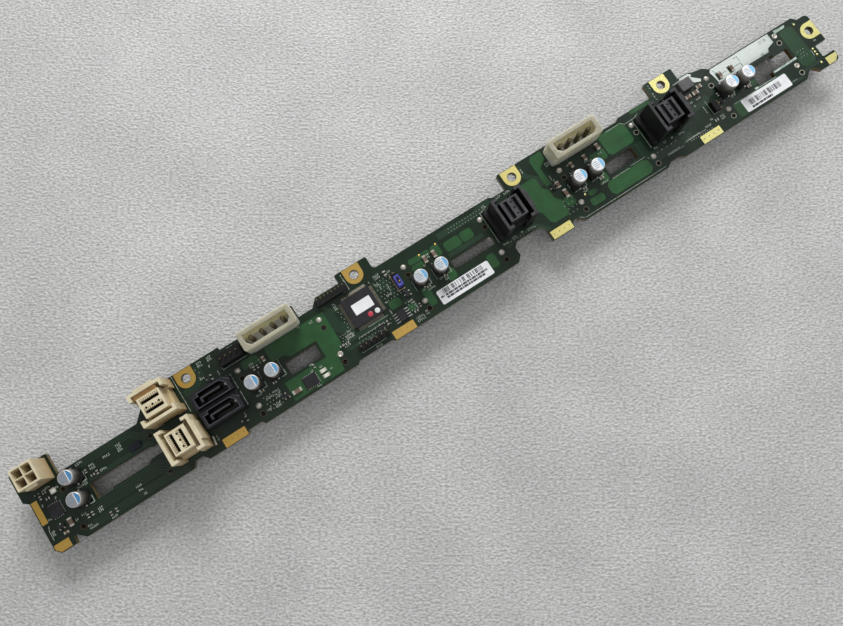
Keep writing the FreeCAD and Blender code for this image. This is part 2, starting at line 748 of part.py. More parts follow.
def make_capacitors():
    """Ten polymer capacitors: moulded square bases with two cut corners, and drawn cans."""
    bases = keep(new_body("capacitor_bases"))
    cans = keep(new_body("capacitor_cans"))
    outlines = new_sketch(bases, "CanBases")
    circles = new_sketch(cans, "CanWalls", dim("can_base_height"))
    half = dim("can_base") / 2
    cut = 1.3
    for x, y in CAPACITORS:
        draw_loop(outlines, [
            (x - half, y - half), (x + half - cut, y - half), (x + half, y - half + cut),
            (x + half, y + half - cut), (x + half - cut, y + half), (x - half, y + half),
        ])
        draw_polygon(circles, (x, y), dim("can_diameter"), 20)
    pad(bases, outlines, "Dimensions.can_base_height")
    walls = pad(cans, circles, "Dimensions.can_height - Dimensions.can_base_height")
    bevel_top(cans, walls, dim("can_height"), 0.35)
    place(bases, (0, 0), BOARD_TOP)
    place(cans, (0, 0), BOARD_TOP)


# ---------------------------------------------------------------- chips and small parts


def make_chip(label, spot, length, width, height, gap=0.0):
    """A moulded chip body with bevelled upper edges."""
    body = keep(new_body(label))
    outline = new_sketch(body, f"Outline_{label}", gap)
    draw_loop(outline, centred(0, 0, length, width))
    raised = pad(body, outline, f"{height - gap}")
    bevel_top(body, raised, height, 0.15)
    place(body, spot, BOARD_TOP)


# Lead feet along each side of the controller.
CHIP_LEADS = 25


def make_controller():
    """The square controller chip and the lead feet round its four sides."""
    spot = (59.3, -5.3)
    make_chip("controller_chip", spot, dim("chip_side"), dim("chip_side"), dim("chip_height"), 0.1)
    leads = keep(new_body("controller_leads"))
    near = dim("chip_side") / 2
    far = dim("chip_lead_span") / 2
    start = -(CHIP_LEADS - 1) / 2 * dim("chip_lead_pitch")
    for way in (-1, 1):
        slope = [(way * near, 0.0), (way * far, 0.0), (way * near, 0.6)]
        for along in ("X", "Y"):
            row = f"Leads{along}{way + 1}"
            finger_row(leads, row, slope, start, 0.22, "Dimensions.chip_lead_pitch", CHIP_LEADS, along)
    place(leads, spot, BOARD_TOP)


def make_memory_chip():
    """An eight lead chip with its feet to left and right."""
    spot = (72.2, -17.8)
    make_chip("memory_chip", spot, 3.9, 5.0, 1.5, 0.1)
    leads = keep(new_body("memory_leads"))
    for way in (-1, 1):
        slope = [(way * 1.95, 0.0), (way * 3.8, 0.0), (way * 1.95, 0.8)]
        row = f"MemoryRow{way + 1}"
        start = -1.5 * dim("contact_pitch")
        finger_row(leads, row, slope, start, 0.45, "Dimensions.contact_pitch", 4, "Y")
    place(leads, spot, BOARD_TOP)


def header_pins(prefix, spots, level, height):
    """Square header pins standing on a level."""
    side = dim("pin_side")
    return [
        block(f"{prefix}Pin{index}", side, side, height, spot, level) for index, spot in enumerate(spots)
    ]


def make_pin_headers():
    """The black pin headers and the blue jumper cap that sits on one of them."""
    pitch = dim("pin_pitch")
    bodies = []
    pins = []
    for number, (spot, count, along_x) in enumerate((
        ((78.2, -3.9), 3, False), ((52.3, -20.6), 3, True), ((59.9, -20.6), 3, True),
    )):
        length, width = (count * pitch, pitch) if along_x else (pitch, count * pitch)
        bodies.append(block(f"HeaderBody{number}", length - 0.1, width - 0.1, 2.5, spot))
        for step in range(count):
            shift = (step - (count - 1) / 2) * pitch
            here = (spot[0] + shift, spot[1]) if along_x else (spot[0], spot[1] + shift)
            pins += header_pins(f"Header{number}{step}", [here], BOARD_TOP + 2.5, 5.6)
    gather("jumper_headers", bodies)

    cap = keep(new_body("jumper_cap"))
    outline = new_sketch(cap, "CapOutline")
    draw_loop(outline, centred(0, 0, 2.5, 5.0, 0.3))
    pad(cap, outline, "6.0")
    sockets = new_sketch(cap, "CapSockets")
    for way in (-1, 1):
        draw_loop(sockets, centred(0, way * pitch / 2, 0.7, 0.7))
    pocket(cap, sockets, "Dimensions.pin_pitch * 2.25", upwards=True)
    window = new_sketch(cap, "CapWindow", 6.0)
    draw_loop(window, centred(0, 0, 1.2, 3.6, 0.5))
    pocket(cap, window, "0.28")
    place(cap, (78.2, -3.9 - pitch / 2), BOARD_TOP + 2.5)

    block_header = keep(new_body("service_header"))
    outline = new_sketch(block_header, "ServiceOutline")
    draw_loop(outline, centred(0, 0, 10.9, 5.4))
    pad(block_header, outline, "6.2")
    place(block_header, (1.2, 6.6), BOARD_TOP)
    spots = [(1.2 + (step - 1.5) * pitch, 6.9) for step in range(4)]
    pins += header_pins("Service", spots, BOARD_TOP + 6.2, 1.6)

    edge_header = keep(new_body("edge_header"))
    outline = new_sketch(edge_header, "EdgeHeaderOutline")
    draw_loop(outline, centred(0, 0, 15.2, 2.6))
    pad(edge_header, outline, "2.5")
    place(edge_header, (50.9, 5.9), BOARD_TOP)
    spots = [(50.9 + (step - 3.5) * 1.85, 7.9) for step in range(8)]
    pins += [block(f"EdgePin{index}", 0.6, 1.4, 0.5, spot) for index, spot in enumerate(spots)]
    pins += [
        block(f"FanPin{step}", 2.3, 0.6, 0.6, (248.7, -13.3 + (step - 1) * 1.8)) for step in range(3)
    ]
    gather("header_pins", pins)


# Small surface parts: (x, y, length along X, width along Y, height).
CERAMIC_PARTS = [
    (-88.2, -16.8, 1.7, 3.6, 1.2), (17.0, -21.2, 4.2, 1.7, 1.1), (94.0, -2.1, 1.6, 3.4, 1.1),
    (98.7, -2.1, 1.6, 3.4, 1.1), (164.3, -10.6, 1.6, 4.2, 1.1), (188.8, 0.0, 1.5, 3.2, 1.2),
    (258.3, -2.0, 1.6, 3.4, 1.1), (265.0, -2.0, 1.6, 3.4, 1.1), (242.9, -2.9, 3.0, 1.9, 1.3),
    (238.9, -2.9, 2.8, 1.6, 1.1), (246.2, -1.2, 2.6, 1.7, 1.0), (181.0, -1.2, 1.5, 2.8, 1.0),
    (174.0, -0.9, 1.4, 2.6, 0.9), (11.8, -1.6, 1.3, 2.2, 0.9), (266.6, -13.7, 1.7, 1.3, 0.9),
    (182.1, -13.4, 1.9, 1.2, 0.9), (163.4, -5.3, 1.7, 3.0, 1.0), (-91.7, -19.5, 2.0, 1.0, 0.6),
]
RESISTORS = [
    (-94.3, -1.7, 0.8, 1.5, 0.45), (-92.0, -0.7, 1.4, 0.7, 0.45), (-91.8, -3.5, 1.5, 0.9, 0.45),
    (-81.3, -18.6, 0.9, 1.6, 0.45), (-79.3, -18.6, 0.9, 1.6, 0.45), (-73.0, -22.8, 0.8, 1.6, 0.45),
    (-70.4, -22.8, 0.8, 1.6, 0.45), (-71.9, -5.0, 1.6, 0.8, 0.45), (-69.8, -5.0, 0.8, 1.6, 0.45),
    (-73.7, -2.2, 0.8, 1.5, 0.45), (6.3, -3.0, 0.8, 1.5, 0.45), (8.1, -3.0, 0.8, 1.5, 0.45),
    (4.5, -13.2, 1.6, 0.8, 0.45), (10.8, -12.9, 1.5, 0.8, 0.45), (28.4, -15.9, 0.8, 1.8, 0.45),
    (65.1, -17.0, 0.8, 1.8, 0.45), (88.9, -13.2, 1.6, 0.8, 0.45), (97.8, -13.4, 1.6, 0.8, 0.45),
    (173.0, -13.2, 1.6, 0.8, 0.45), (257.8, -13.4, 1.6, 0.8, 0.45), (75.6, 2.2, 1.4, 2.2, 0.6),
    (43.0, -15.0, 1.5, 0.8, 0.45), (45.6, -15.4, 1.5, 0.8, 0.45), (79.3, -14.8, 0.8, 1.6, 0.45),
    (78.4, -19.4, 1.6, 0.8, 0.45), (81.2, -18.0, 0.8, 1.6, 0.45), (251.6, -9.2, 0.9, 1.5, 0.45),
    (243.8, -19.1, 1.6, 1.2, 0.5),
]
TRANSISTORS = [
    (-92.5, -16.2, 2.9, 1.4, 1.0), (-11.7, 3.7, 1.4, 2.9, 1.0), (-8.0, -19.5, 1.4, 2.9, 1.0),
    (12.1, -20.3, 2.9, 1.4, 1.0), (79.2, -10.8, 1.7, 2.9, 1.0), (161.0, -5.3, 1.5, 2.4, 1.0),
    (61.6, -17.2, 2.6, 1.8, 0.8), (251.1, -12.5, 1.7, 2.4, 0.9),
]
LIGHTS = [
    (-88.5, -1.9, 2.0, 2.3, 1.1), (30.8, -19.7, 3.0, 1.5, 1.1), (31.0, -22.2, 3.2, 1.5, 1.1),
]
LABELS = [box_corners(90.0, 116.9, -23.7, -17.0, 0.8), box_corners(258.9, 285.1, -24.1, -17.4, 0.8)]


def make_small_parts():
    """The surface parts that are plain blocks, grouped by kind, and the two paper labels."""
    for label, places in (
        ("ceramic_capacitors", CERAMIC_PARTS), ("chip_resistors", RESISTORS),
        ("transistors", TRANSISTORS), ("indicator_lights", LIGHTS),
    ):
        gather(label, [
            block(f"{label}_{index}", length, width, height, (x, y))
            for index, (x, y, length, width, height) in enumerate(places)
        ])
    labels = keep(new_body("paper_labels"))
    sketch = new_sketch(labels, "LabelShapes")
    for corners in LABELS:
        draw_loop(sketch, corners)
    pad(labels, sketch, "0.1")
    place(labels, (0, 0), BOARD_TOP)
    make_chip("power_switch_chip", (-91.2, -9.4), 5.4, 5.8, 0.9)
    make_chip("regulator_chip", (24.1, -20.6), 6.2, 5.2, 0.9)
    make_chip("logic_chip", (-51.5, -4.3), 4.9, 2.6, 0.9)
    make_chip("power_inductor", (240.6, 2.5), 6.6, 5.2, 3.0)
    make_chip("fan_header", (246.3, -13.3), 2.5, 5.4, 2.6)


# ---------------------------------------------------------------- build

make_board()
make_pads()
for column in COLUMNS:
    for row in ROWS:
        make_receptacle(column, row)
make_board_locks()
make_power_header()
make_disk_header(1, (20.7, 7.1))
make_disk_header(2, (178.7, 7.1))
make_link_connector("pale_link_1", (-33.5, 4.8), 0.0, 0.0)
make_link_connector("pale_link_2", (-31.5, -14.2), -90.0, 0.0)
make_link_connector("dark_link_1", (136.6, -6.0), -90.0, 2.2)
make_link_connector("dark_link_2", (220.6, -6.0), -90.0, 2.2)
make_serial_socket()
make_capacitors()
make_controller()
make_memory_chip()
make_pin_headers()
make_small_parts()
doc.recompute()

for item in doc.Objects:
    if "Invalid" in item.State or "Error" in item.State:
        raise RuntimeError(f"{item.Name} failed: {item.State}")
for node in nodes:
    if node.Shape.isNull() or not node.Shape.isValid():
        raise RuntimeError(f"{node.Label} has no valid shape")

os.makedirs("parts", exist_ok=True)
for node in nodes:
    node.Shape.exportStep(f"parts/{node.Label}.step")
    print(node.Label, len(node.Shape.Solids), round(node.Shape.Volume, 2))
print("nodes", len(nodes))
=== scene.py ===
# %% [markdown]
# # A drive backplane board
# A backplane is the circuit board at the back of a server's drive cage. Drives plug into the
# receptacles on its far side, and cables plug into the connectors on this side. The solids come
# from the CAD frame. This script dresses them: finishes, print, solder, copper and small parts.
# Lengths are in millimetres from the datum, the first board lock of column 2, and from the board's
# top face, and one helper turns them into the frame's metres. Only the floor, the lamps and the
# camera are placed in metres.

# %% Load the frame
import math

import bpy
import mathutils
import numpy as np
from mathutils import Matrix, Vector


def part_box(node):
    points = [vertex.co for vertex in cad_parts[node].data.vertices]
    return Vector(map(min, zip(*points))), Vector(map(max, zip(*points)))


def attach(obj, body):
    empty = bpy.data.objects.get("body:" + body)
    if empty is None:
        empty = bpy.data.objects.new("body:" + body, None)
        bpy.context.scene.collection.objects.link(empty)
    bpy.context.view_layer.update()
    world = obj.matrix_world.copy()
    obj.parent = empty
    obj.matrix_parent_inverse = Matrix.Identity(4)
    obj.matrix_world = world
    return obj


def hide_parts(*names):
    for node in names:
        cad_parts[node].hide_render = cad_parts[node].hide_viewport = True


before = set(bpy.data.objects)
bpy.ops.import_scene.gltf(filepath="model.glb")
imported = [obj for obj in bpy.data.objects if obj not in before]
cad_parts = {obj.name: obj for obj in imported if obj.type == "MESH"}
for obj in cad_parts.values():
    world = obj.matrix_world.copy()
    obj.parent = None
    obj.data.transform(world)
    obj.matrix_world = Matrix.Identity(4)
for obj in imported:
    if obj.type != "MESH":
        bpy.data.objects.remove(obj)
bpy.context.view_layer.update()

# %% [markdown]
# The board locks stand on a grid of 84 mm columns and 17.6 mm rows, so the middle of their box
# gives the datum, and the board's own box gives the level of its two faces.

# %% The datum
MM = 0.001
COLUMN_PITCH, ROW_PITCH, LOCK_SPACING = 84.0, 17.6, 40.6
lock_low, lock_high = (np.array(corner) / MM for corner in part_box("board_locks"))
lock_middle = (lock_low + lock_high) / 2
DATUM = np.array([
    lock_middle[0] - (3 * COLUMN_PITCH + LOCK_SPACING) / 2,
    lock_middle[1] + ROW_PITCH / 2,
    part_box("circuit_board")[1].z / MM,
])
THICK = (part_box("circuit_board")[1].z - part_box("circuit_board")[0].z) / MM
print("datum (mm):", np.round(DATUM, 2), "board thickness:", round(THICK, 2))


def to_frame(points):
    """Points in millimetres from the datum, moved and scaled to the frame's metres."""
    return (np.asarray(points, float) + DATUM) * MM


def local_box(node):
    """Lowest and highest corner of a CAD node, in millimetres from the datum."""
    return tuple(np.array(corner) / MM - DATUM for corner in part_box(node))

# %% [markdown]
# A few small builders make every added piece: boxes, prisms, turned forms and lines of even width.
# Blender's own primitives and modifiers could make the same shapes one at a time. These work out
# whole arrays of points and faces, so a hundred parts cost no more code than one. `join` stacks
# their results, and `piece` makes one object that rides on the board.

# %% Surface builders
CUBE = np.array([[0, 0, 0], [1, 0, 0], [1, 1, 0], [0, 1, 0],
                 [0, 0, 1], [1, 0, 1], [1, 1, 1], [0, 1, 1]])
CUBE_FACES = np.array([[0, 3, 2, 1], [4, 5, 6, 7], [0, 1, 5, 4],
                       [1, 2, 6, 5], [2, 3, 7, 6], [3, 0, 4, 7]])


def boxes(rows):
    """Upright boxes. A row is x low, x high, y low, y high, z low, z high, and each corner of the
    unit cube picks the low or the high one of each pair."""
    limits = np.asarray(rows, float).reshape(-1, 1, 3, 2)
    points = limits[..., 0] * (1 - CUBE) + limits[..., 1] * CUBE
    faces = CUBE_FACES + 8 * np.arange(len(points))[:, None, None]
    return points.reshape(-1, 3), faces.reshape(-1, 4).tolist()


def track(path):
    """Points in a plane, from pairs or from a flat run of x, y, x, y."""
    return np.asarray(path, float).reshape(-1, 2)


def bridge(near, far):
    """A solid between two outlines with the same number of points: two caps and the walls."""
    count = len(near)
    here = np.arange(count)
    after = (here + 1) % count
    sides = np.stack([here, after, after + count, here + count], 1).tolist()
    return np.vstack([near, far]), [here[::-1].tolist(), (here + count).tolist(), *sides]


def prism(outline, low, high):
    """A flat outline, counter-clockwise, raised from one level to another."""
    return bridge(*(np.insert(track(outline), 2, level, axis=1) for level in (low, high)))


def circle(sides, phase=0.0):
    """Points on the unit circle at even angles, all turned on by a share of one step."""
    turn = 2 * np.pi * (np.arange(sides) + phase) / sides
    return np.stack([np.cos(turn), np.sin(turn)], 1)


def lathe(profile, centres, sides):
    """Turned forms. Ring k has radius r(k) and height z(k), and its points stand at equal angles.
    A profile that starts on the axis has a pole at both ends. Any other one closes on itself."""
    profile = np.asarray(profile, float)
    hollow = profile[0, 0] > 0
    rings = profile if hollow else profile[1:-1]
    unit = np.concatenate([
        rings[:, None, :1] * circle(sides), np.repeat(rings[:, None, 1:], sides, 1)
    ], 2).reshape(-1, 3)
    count = len(unit)
    here = np.arange(sides)
    after = (here + 1) % sides
    below = np.arange(0, count if hollow else count - sides, sides)[:, None]
    above = (below + sides) % count
    quads = np.stack([here + below, after + below, after + above, here + above], 2)
    groups = [quads.reshape(-1, 4)]
    if not hollow:
        last = count - sides
        groups += [np.stack([np.full(sides, count), after, here], 1),
                   np.stack([np.full(sides, count + 1), here + last, after + last], 1)]
        unit = np.vstack([unit, [[0, 0, profile[0, 1]], [0, 0, profile[-1, 1]]]])
    points = (np.asarray(centres, float)[:, None, :] + unit).reshape(-1, 3)
    faces = []
    for shift in len(unit) * np.arange(len(centres)):
        for group in groups:
            faces += (group + shift).tolist()
    return points, faces


def ribbon(path, width):
    """The outline of a line of even width: each point of the path is pushed to both sides along the
    mitre of its two neighbours."""
    path = track(path)
    steps = np.diff(path, axis=0)
    steps /= np.linalg.norm(steps, axis=1)[:, None]
    before = np.vstack([steps[:1], steps])
    after = np.vstack([steps, steps[-1:]])
    mitre = before + after
    mitre /= np.linalg.norm(mitre, axis=1)[:, None]
    normal = np.stack([-mitre[:, 1], mitre[:, 0]], 1)
    stretch = 1 / np.clip((mitre * after).sum(1), 0.3, 1)
    push = normal * (width / 2 * stretch)[:, None]
    return np.vstack([path - push, (path + push)[::-1]])


def join(parts):
    """Stacks several (points, faces) pairs into one, with the face numbers moved on."""
    points, faces, start = [], [], 0
    for some_points, some_faces in parts:
        points.append(some_points)
        faces += [[corner + start for corner in face] for face in some_faces]
        start += len(some_points)
    return np.vstack(points), faces


def piece(name, shape, finish, smooth=False, replaces=()):
    """One object from a (points, faces) pair in millimetres, riding on the board."""
    points, faces = shape
    mesh = bpy.data.meshes.new(name)
    mesh.from_pydata(to_frame(points).tolist(), [], faces)
    mesh.materials.append(finish.material)
    mesh.polygons.foreach_set("use_smooth", np.full(len(mesh.polygons), smooth))
    mesh.update()
    thing = bpy.data.objects.new(name, mesh)
    bpy.context.scene.collection.objects.link(thing)
    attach(thing, "root")
    if replaces:
        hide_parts(*replaces)
    print(f"{name}: {len(points)} points, {len(faces)} faces")


print("a box has", len(CUBE), "corners and", len(CUBE_FACES), "faces")

# %% [markdown]
# Many CAD nodes hold a whole family of small solids: ten capacitor bases, eighteen ceramic blocks.
# Their places are read back from the frame instead of being written again: triangles that share
# corners belong to one solid, so the corner numbers are passed along until each solid has settled
# on its lowest number.

# %% Find the separate solids of a node
def solids(node):
    """The box of every solid in a node, as rows of x low, y low, z low, x high, y high, z high."""
    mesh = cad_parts[node].data
    points = np.zeros(len(mesh.vertices) * 3)
    mesh.vertices.foreach_get("co", points)
    points = points.reshape(-1, 3) / MM - DATUM
    corners = np.zeros(len(mesh.loops), int)
    mesh.loops.foreach_get("vertex_index", corners)
    _, same = np.unique(np.round(points, 3), axis=0, return_inverse=True)
    triangles = same.ravel()[corners].reshape(-1, 3)
    label = np.arange(same.max() + 1)
    settled = False
    while not settled:
        before = label.copy()
        np.minimum.at(label, triangles, label[triangles].min(1)[:, None])
        label = label[label]
        settled = np.array_equal(before, label)
    owner = label[same.ravel()]
    rows = []
    for number in np.unique(owner):
        own = points[owner == number]
        rows.append([*own.min(0), *own.max(0)])
    return np.array(rows)


can_boxes = solids("capacitor_cans")
peg_boxes = solids("board_locks")
print("capacitor cans:", len(can_boxes), "board locks:", len(peg_boxes))

# %% [markdown]
# Every finish is one node material. The `Finish` class below starts from Blender's Principled
# shader and adds patterns that are sized in millimetres and read Object coordinates, so they stay
# put when the camera moves.

# %% The finish builder
def srgb(colour):
    """Screen values from 0 to 255 as the linear colour that a shader takes."""
    value = np.array(colour) / 255
    linear = np.where(value > 0.04045, ((value + 0.055) / 1.055) ** 2.4, value / 12.92)
    return (*linear.tolist(), 1.0)


class Finish:
    """A Principled material with helpers for colour and relief. Colours are screen values."""

    def __init__(self, name, colour, roughness, metallic=0.0, specular=0.5, **sockets):
        self.material = bpy.data.materials.new(name)
        self.material.use_nodes = True
        self.material.diffuse_color = srgb(colour)
        self.tree = self.material.node_tree
        self.shader = self.tree.nodes["Principled BSDF"]
        sockets |= {"Base_Color": srgb(colour), "Roughness": roughness, "Metallic": metallic,
                    "Specular_IOR_Level": specular}
        for socket, value in sockets.items():
            self.shader.inputs[socket.replace("_", " ")].default_value = value
        self.place = self.node("ShaderNodeTexCoord").outputs["Object"]

    def node(self, kind, inputs=(), **settings):
        """A node with its settings, and its inputs set to values or linked to sockets."""
        made = self.tree.nodes.new(kind)
        for name, value in settings.items():
            setattr(made, name, value)
        for name, value in dict(inputs).items():
            if isinstance(value, bpy.types.NodeSocket):
                self.tree.links.new(value, made.inputs[name])
            else:
                made.inputs[name].default_value = value
        return made

    def noise(self, size, detail=3.0, stretch=(1, 1, 1), turn=0.0):
        """Cloudy values from 0 to 1, in blots about `size` millimetres across before they are
        stretched along the axes and turned by some degrees about Z."""
        spread = self.node("ShaderNodeMapping", {
            "Vector": self.place, "Scale": [size * MM * factor for factor in stretch],
            "Rotation": (0.0, 0.0, math.radians(turn))}, vector_type="TEXTURE")
        cloud = self.node("ShaderNodeTexNoise", {
            "Vector": spread.outputs["Vector"], "Scale": 1.0, "Detail": detail})
        return cloud.outputs["Fac"]

    def slope(self, axis, low, high):
        """A value that rises from 0 to 1 between two millimetre marks along an axis."""
        parts = self.node("ShaderNodeSeparateXYZ", {"Vector": self.place})
        start = DATUM["XYZ".index(axis)]
        return self.node("ShaderNodeMapRange", {
            "Value": parts.outputs[axis], "From Min": (low + start) * MM,
            "From Max": (high + start) * MM}).outputs["Result"]

    def ramp(self, value, *stops):
        """Colours blended along a value; each stop is a place and a colour."""
        made = self.node("ShaderNodeValToRGB", {"Fac": value})
        elements = made.color_ramp.elements
        while len(elements) < len(stops):
            elements.new(0.5)
        for element, (spot, colour) in zip(elements, stops):
            element.position = spot
            element.color = srgb(colour)
        return made.outputs["Color"]

    def mix(self, value, first, second, kind="MIX"):
        """One colour over another, by a value from 0 to 1."""
        return self.node("ShaderNodeMixRGB", {"Fac": value, "Color1": first, "Color2": second},
                         blend_type=kind).outputs["Color"]

    def mottle(self, size, dark, pale, detail=3.0, stretch=(1, 1, 1), low=0.3, high=0.7):
        """Two tones in blots: dark where the noise is below one value, pale above another."""
        return self.ramp(self.noise(size, detail, stretch), (low, dark), (high, pale))

    def multiply(self, first, second, share=1.0):
        """One colour darkened by another."""
        return self.mix(share, first, second, "MULTIPLY")

    def paint(self, colour):
        """Sends a colour to the shader."""
        self.tree.links.new(colour, self.shader.inputs["Base Color"])
        return self

    def gloss(self, value, low, high):
        """Roughness that follows a value between two limits."""
        made = self.node("ShaderNodeMapRange", {"Value": value, "To Min": low, "To Max": high})
        self.tree.links.new(made.outputs["Result"], self.shader.inputs["Roughness"])
        return self

    def relief(self, height, depth):
        """Bumps `depth` millimetres high, from a value from 0 to 1."""
        made = self.node("ShaderNodeBump", {"Height": height, "Strength": 1.0,
                                            "Distance": depth * MM})
        self.tree.links.new(made.outputs["Normal"], self.shader.inputs["Normal"])
        return self


def grey(level):
    """An even grey."""
    return (level, level, level)


WHITE = grey(255)
print("white as a shader takes it:", srgb(WHITE))

# %% [markdown]
# The laminate is the largest surface. Its faces carry dark green solder mask, painted a little
# lighter in the middle of the board than at the ends as painted light and shade along the board,
# and its cut edges show bare glass laminate with thin layer lines. The direction of the surface
# picks between the two: a face that looks up or down is mask.

# %% The board's finish
BOARD_SPAN = (-105, 313)
MASK_LEFT, MASK_MIDDLE, MASK_RIGHT = (16, 34, 20), (21, 43, 26), (19, 40, 27)
board_finish = Finish("green solder mask", MASK_LEFT, 0.3, specular=0.35)
# The ramp along the board is painted light and shade: the mask is painted darker at the ends than
# in the middle.
mask = board_finish.ramp(board_finish.slope("X", *BOARD_SPAN),
                         (0.0, MASK_LEFT), (0.45, MASK_MIDDLE), (1.0, MASK_RIGHT))
mask = board_finish.multiply(mask, board_finish.mottle(9, grey(196), WHITE, 4), 0.8)
layers = board_finish.mottle(0.35, (58, 48, 24), (124, 106, 58), 2, (60, 60, 1), 0.35, 0.65)
geometry = board_finish.node("ShaderNodeNewGeometry")
upright = board_finish.node("ShaderNodeSeparateXYZ", {"Vector": geometry.outputs["Normal"]})
level = board_finish.node("ShaderNodeMath", {0: upright.outputs["Z"]}, operation="ABSOLUTE")
flat = board_finish.node("ShaderNodeMath", {0: level.outputs[0], 1: 0.5},
                         operation="GREATER_THAN")
board_finish.paint(board_finish.mix(flat.outputs[0], layers, mask))
board_finish.gloss(board_finish.noise(3), 0.24, 0.36)
board_finish.relief(board_finish.noise(1.1, 2), 0.006)
print("board finish:", len(board_finish.tree.nodes), "nodes")

# %% [markdown]
# Mouldings are matt plastic: a fine grain in the relief, a slow change of tone, and for the ivory
# nylon ones a little light passing through the skin. One function makes them all. The cream ones
# are painted warmer and darker near the board, a painted shade for their deep cells; the ivory ones
# are painted lighter low down and darker at the rim, painted light and shade for their cavities;
# and the black cable connectors have a painted highlight, a greyer top edge. Metal has a function
# of its own.

# %% Moulded and stamped finishes
def moulding(name, dark, pale, roughness=0.5, grain=0.25, **sockets):
    """Matt plastic that drifts between two tones, with a grain of the given size."""
    made = Finish(name, pale, roughness, **sockets)
    made.paint(made.mottle(4, dark, pale, 4))
    made.gloss(made.noise(1.5), roughness - 0.06, roughness + 0.1)
    return made.relief(made.noise(grain, 2), 0.01)


def metal(name, dark, pale, roughness, size):
    """Bare or plated metal: two tones in small blots, with gloss that follows the same blots."""
    made = Finish(name, pale, roughness, metallic=1.0)
    blots = made.noise(size, 4)
    made.paint(made.ramp(blots, (0.3, dark), (0.7, pale)))
    made.gloss(blots, roughness + 0.12, roughness - 0.08)
    return made.relief(made.noise(size / 3, 2), 0.004)


CREAM, IVORY = ((204, 192, 160), (224, 214, 184)), ((166, 163, 146), (182, 179, 162))
LINK_BLACK = (20, 20, 21), (31, 31, 33)
cream = moulding("cream nylon", *CREAM, 0.45)
# Painted shade: the cream is painted warmer and darker low down, where its cells lie in shade.
cream_painted_shade = cream.ramp(cream.slope("Z", 0, 14.4), (0.0, (212, 192, 164)),
                  (0.55, (238, 228, 212)), (0.9, WHITE))
cream.paint(cream.multiply(cream.mottle(4, *CREAM, 4), cream_painted_shade))
ivory = moulding("ivory nylon", *IVORY, 0.4, Subsurface_Weight=0.8, Subsurface_Scale=0.006,
                 Subsurface_Radius=(1.0, 0.95, 0.75))
# Painted light and shade by height: lighter low down in the cavities, darker on the rim.
ivory_painted_light = ivory.ramp(
    ivory.slope("Z", 0, 11.2), (0.0, (238, 235, 218)), (0.6, (222, 219, 200)),
    (0.95, (194, 191, 172)), (1.0, (172, 169, 151)))
ivory.paint(ivory.multiply(ivory_painted_light, ivory.mottle(4, grey(236), WHITE, 4)))
black_plastic = moulding("black moulding", *LINK_BLACK, specular=0.3)
link_plastic = moulding("black link moulding", *LINK_BLACK, specular=0.3)
# The top edge is painted greyer: a painted highlight where the edge catches the light.
link_plastic.paint(link_plastic.mix(
    link_plastic.slope("Z", 14.2, 14.38), link_plastic.mottle(4, *LINK_BLACK, 4),
    link_plastic.mottle(3, (50, 50, 53), (70, 70, 74))))
header_plastic = moulding("pin header moulding", (9, 9, 10), (17, 17, 18), specular=0.25)
grey_black_plastic = moulding("blue-black moulding", (15, 15, 20), (25, 26, 32), 0.45,
                              specular=0.35)
chip_plastic = moulding("chip moulding", (21, 21, 25), (31, 31, 36), 0.55, 0.12, specular=0.35)
logic_plastic = moulding("blue-black chip", (12, 16, 26), (30, 36, 50), 0.5, 0.5, specular=0.25)
blue_plastic = moulding("blue moulding", (52, 54, 140), (76, 80, 176), 0.4)
ferrite = moulding("pressed ferrite", (74, 74, 76), (92, 91, 92), 0.6, 0.15)
ceramic = moulding("fired ceramic", (92, 74, 62), (128, 106, 90), 0.4, 0.2)
lacquer = moulding("resistor lacquer", (24, 24, 26), (42, 40, 40), 0.35, 0.2)
lamp_white = moulding("white lamp body", (205, 205, 195), (235, 235, 226), 0.35)
paper = moulding("label paper", (224, 226, 229), (240, 241, 243), 0.6, 0.3)
gold = metal("gold flash", (214, 174, 84), (240, 204, 112), 0.34, 1.2)
# Painted light along the board: the gold is painted brighter towards the right end.
gold_painted_light = gold.ramp(
    gold.slope("X", -20, 240), (0.0, (214, 176, 94)), (0.5, (220, 184, 104)),
    (0.7, (255, 250, 166)), (1.0, (255, 250, 172)))
gold.paint(gold.multiply(gold_painted_light, gold.mottle(1.2, (205, 190, 160), WHITE, 4), 0.25))
spring = metal("gold spring contact", (190, 150, 66), (228, 190, 100), 0.3, 0.5)
tin = metal("tin plate", (168, 168, 162), (214, 214, 208), 0.3, 0.5)
# Pins painted dark: painted shade for the pins down in the connector cells, and a dull plating for
# the header pins.
dull_and_shaded_pin = metal("dull pin painted with shade", (74, 68, 52), (132, 124, 100), 0.4, 0.4)
fine_lead = metal("fine lead", (108, 102, 88), (160, 154, 140), 0.45, 0.3)
shaded_contact = metal("shaded contact", (44, 34, 20), (84, 66, 40), 0.45, 0.5)
print("finishes:", len(bpy.data.materials))

# %% [markdown]
# The finishes could be given out node by node. But a CAD node's material name is its slot, so one
# short table serves most nodes, and a second table, by node name, takes the few that look different
# from the rest of their slot.

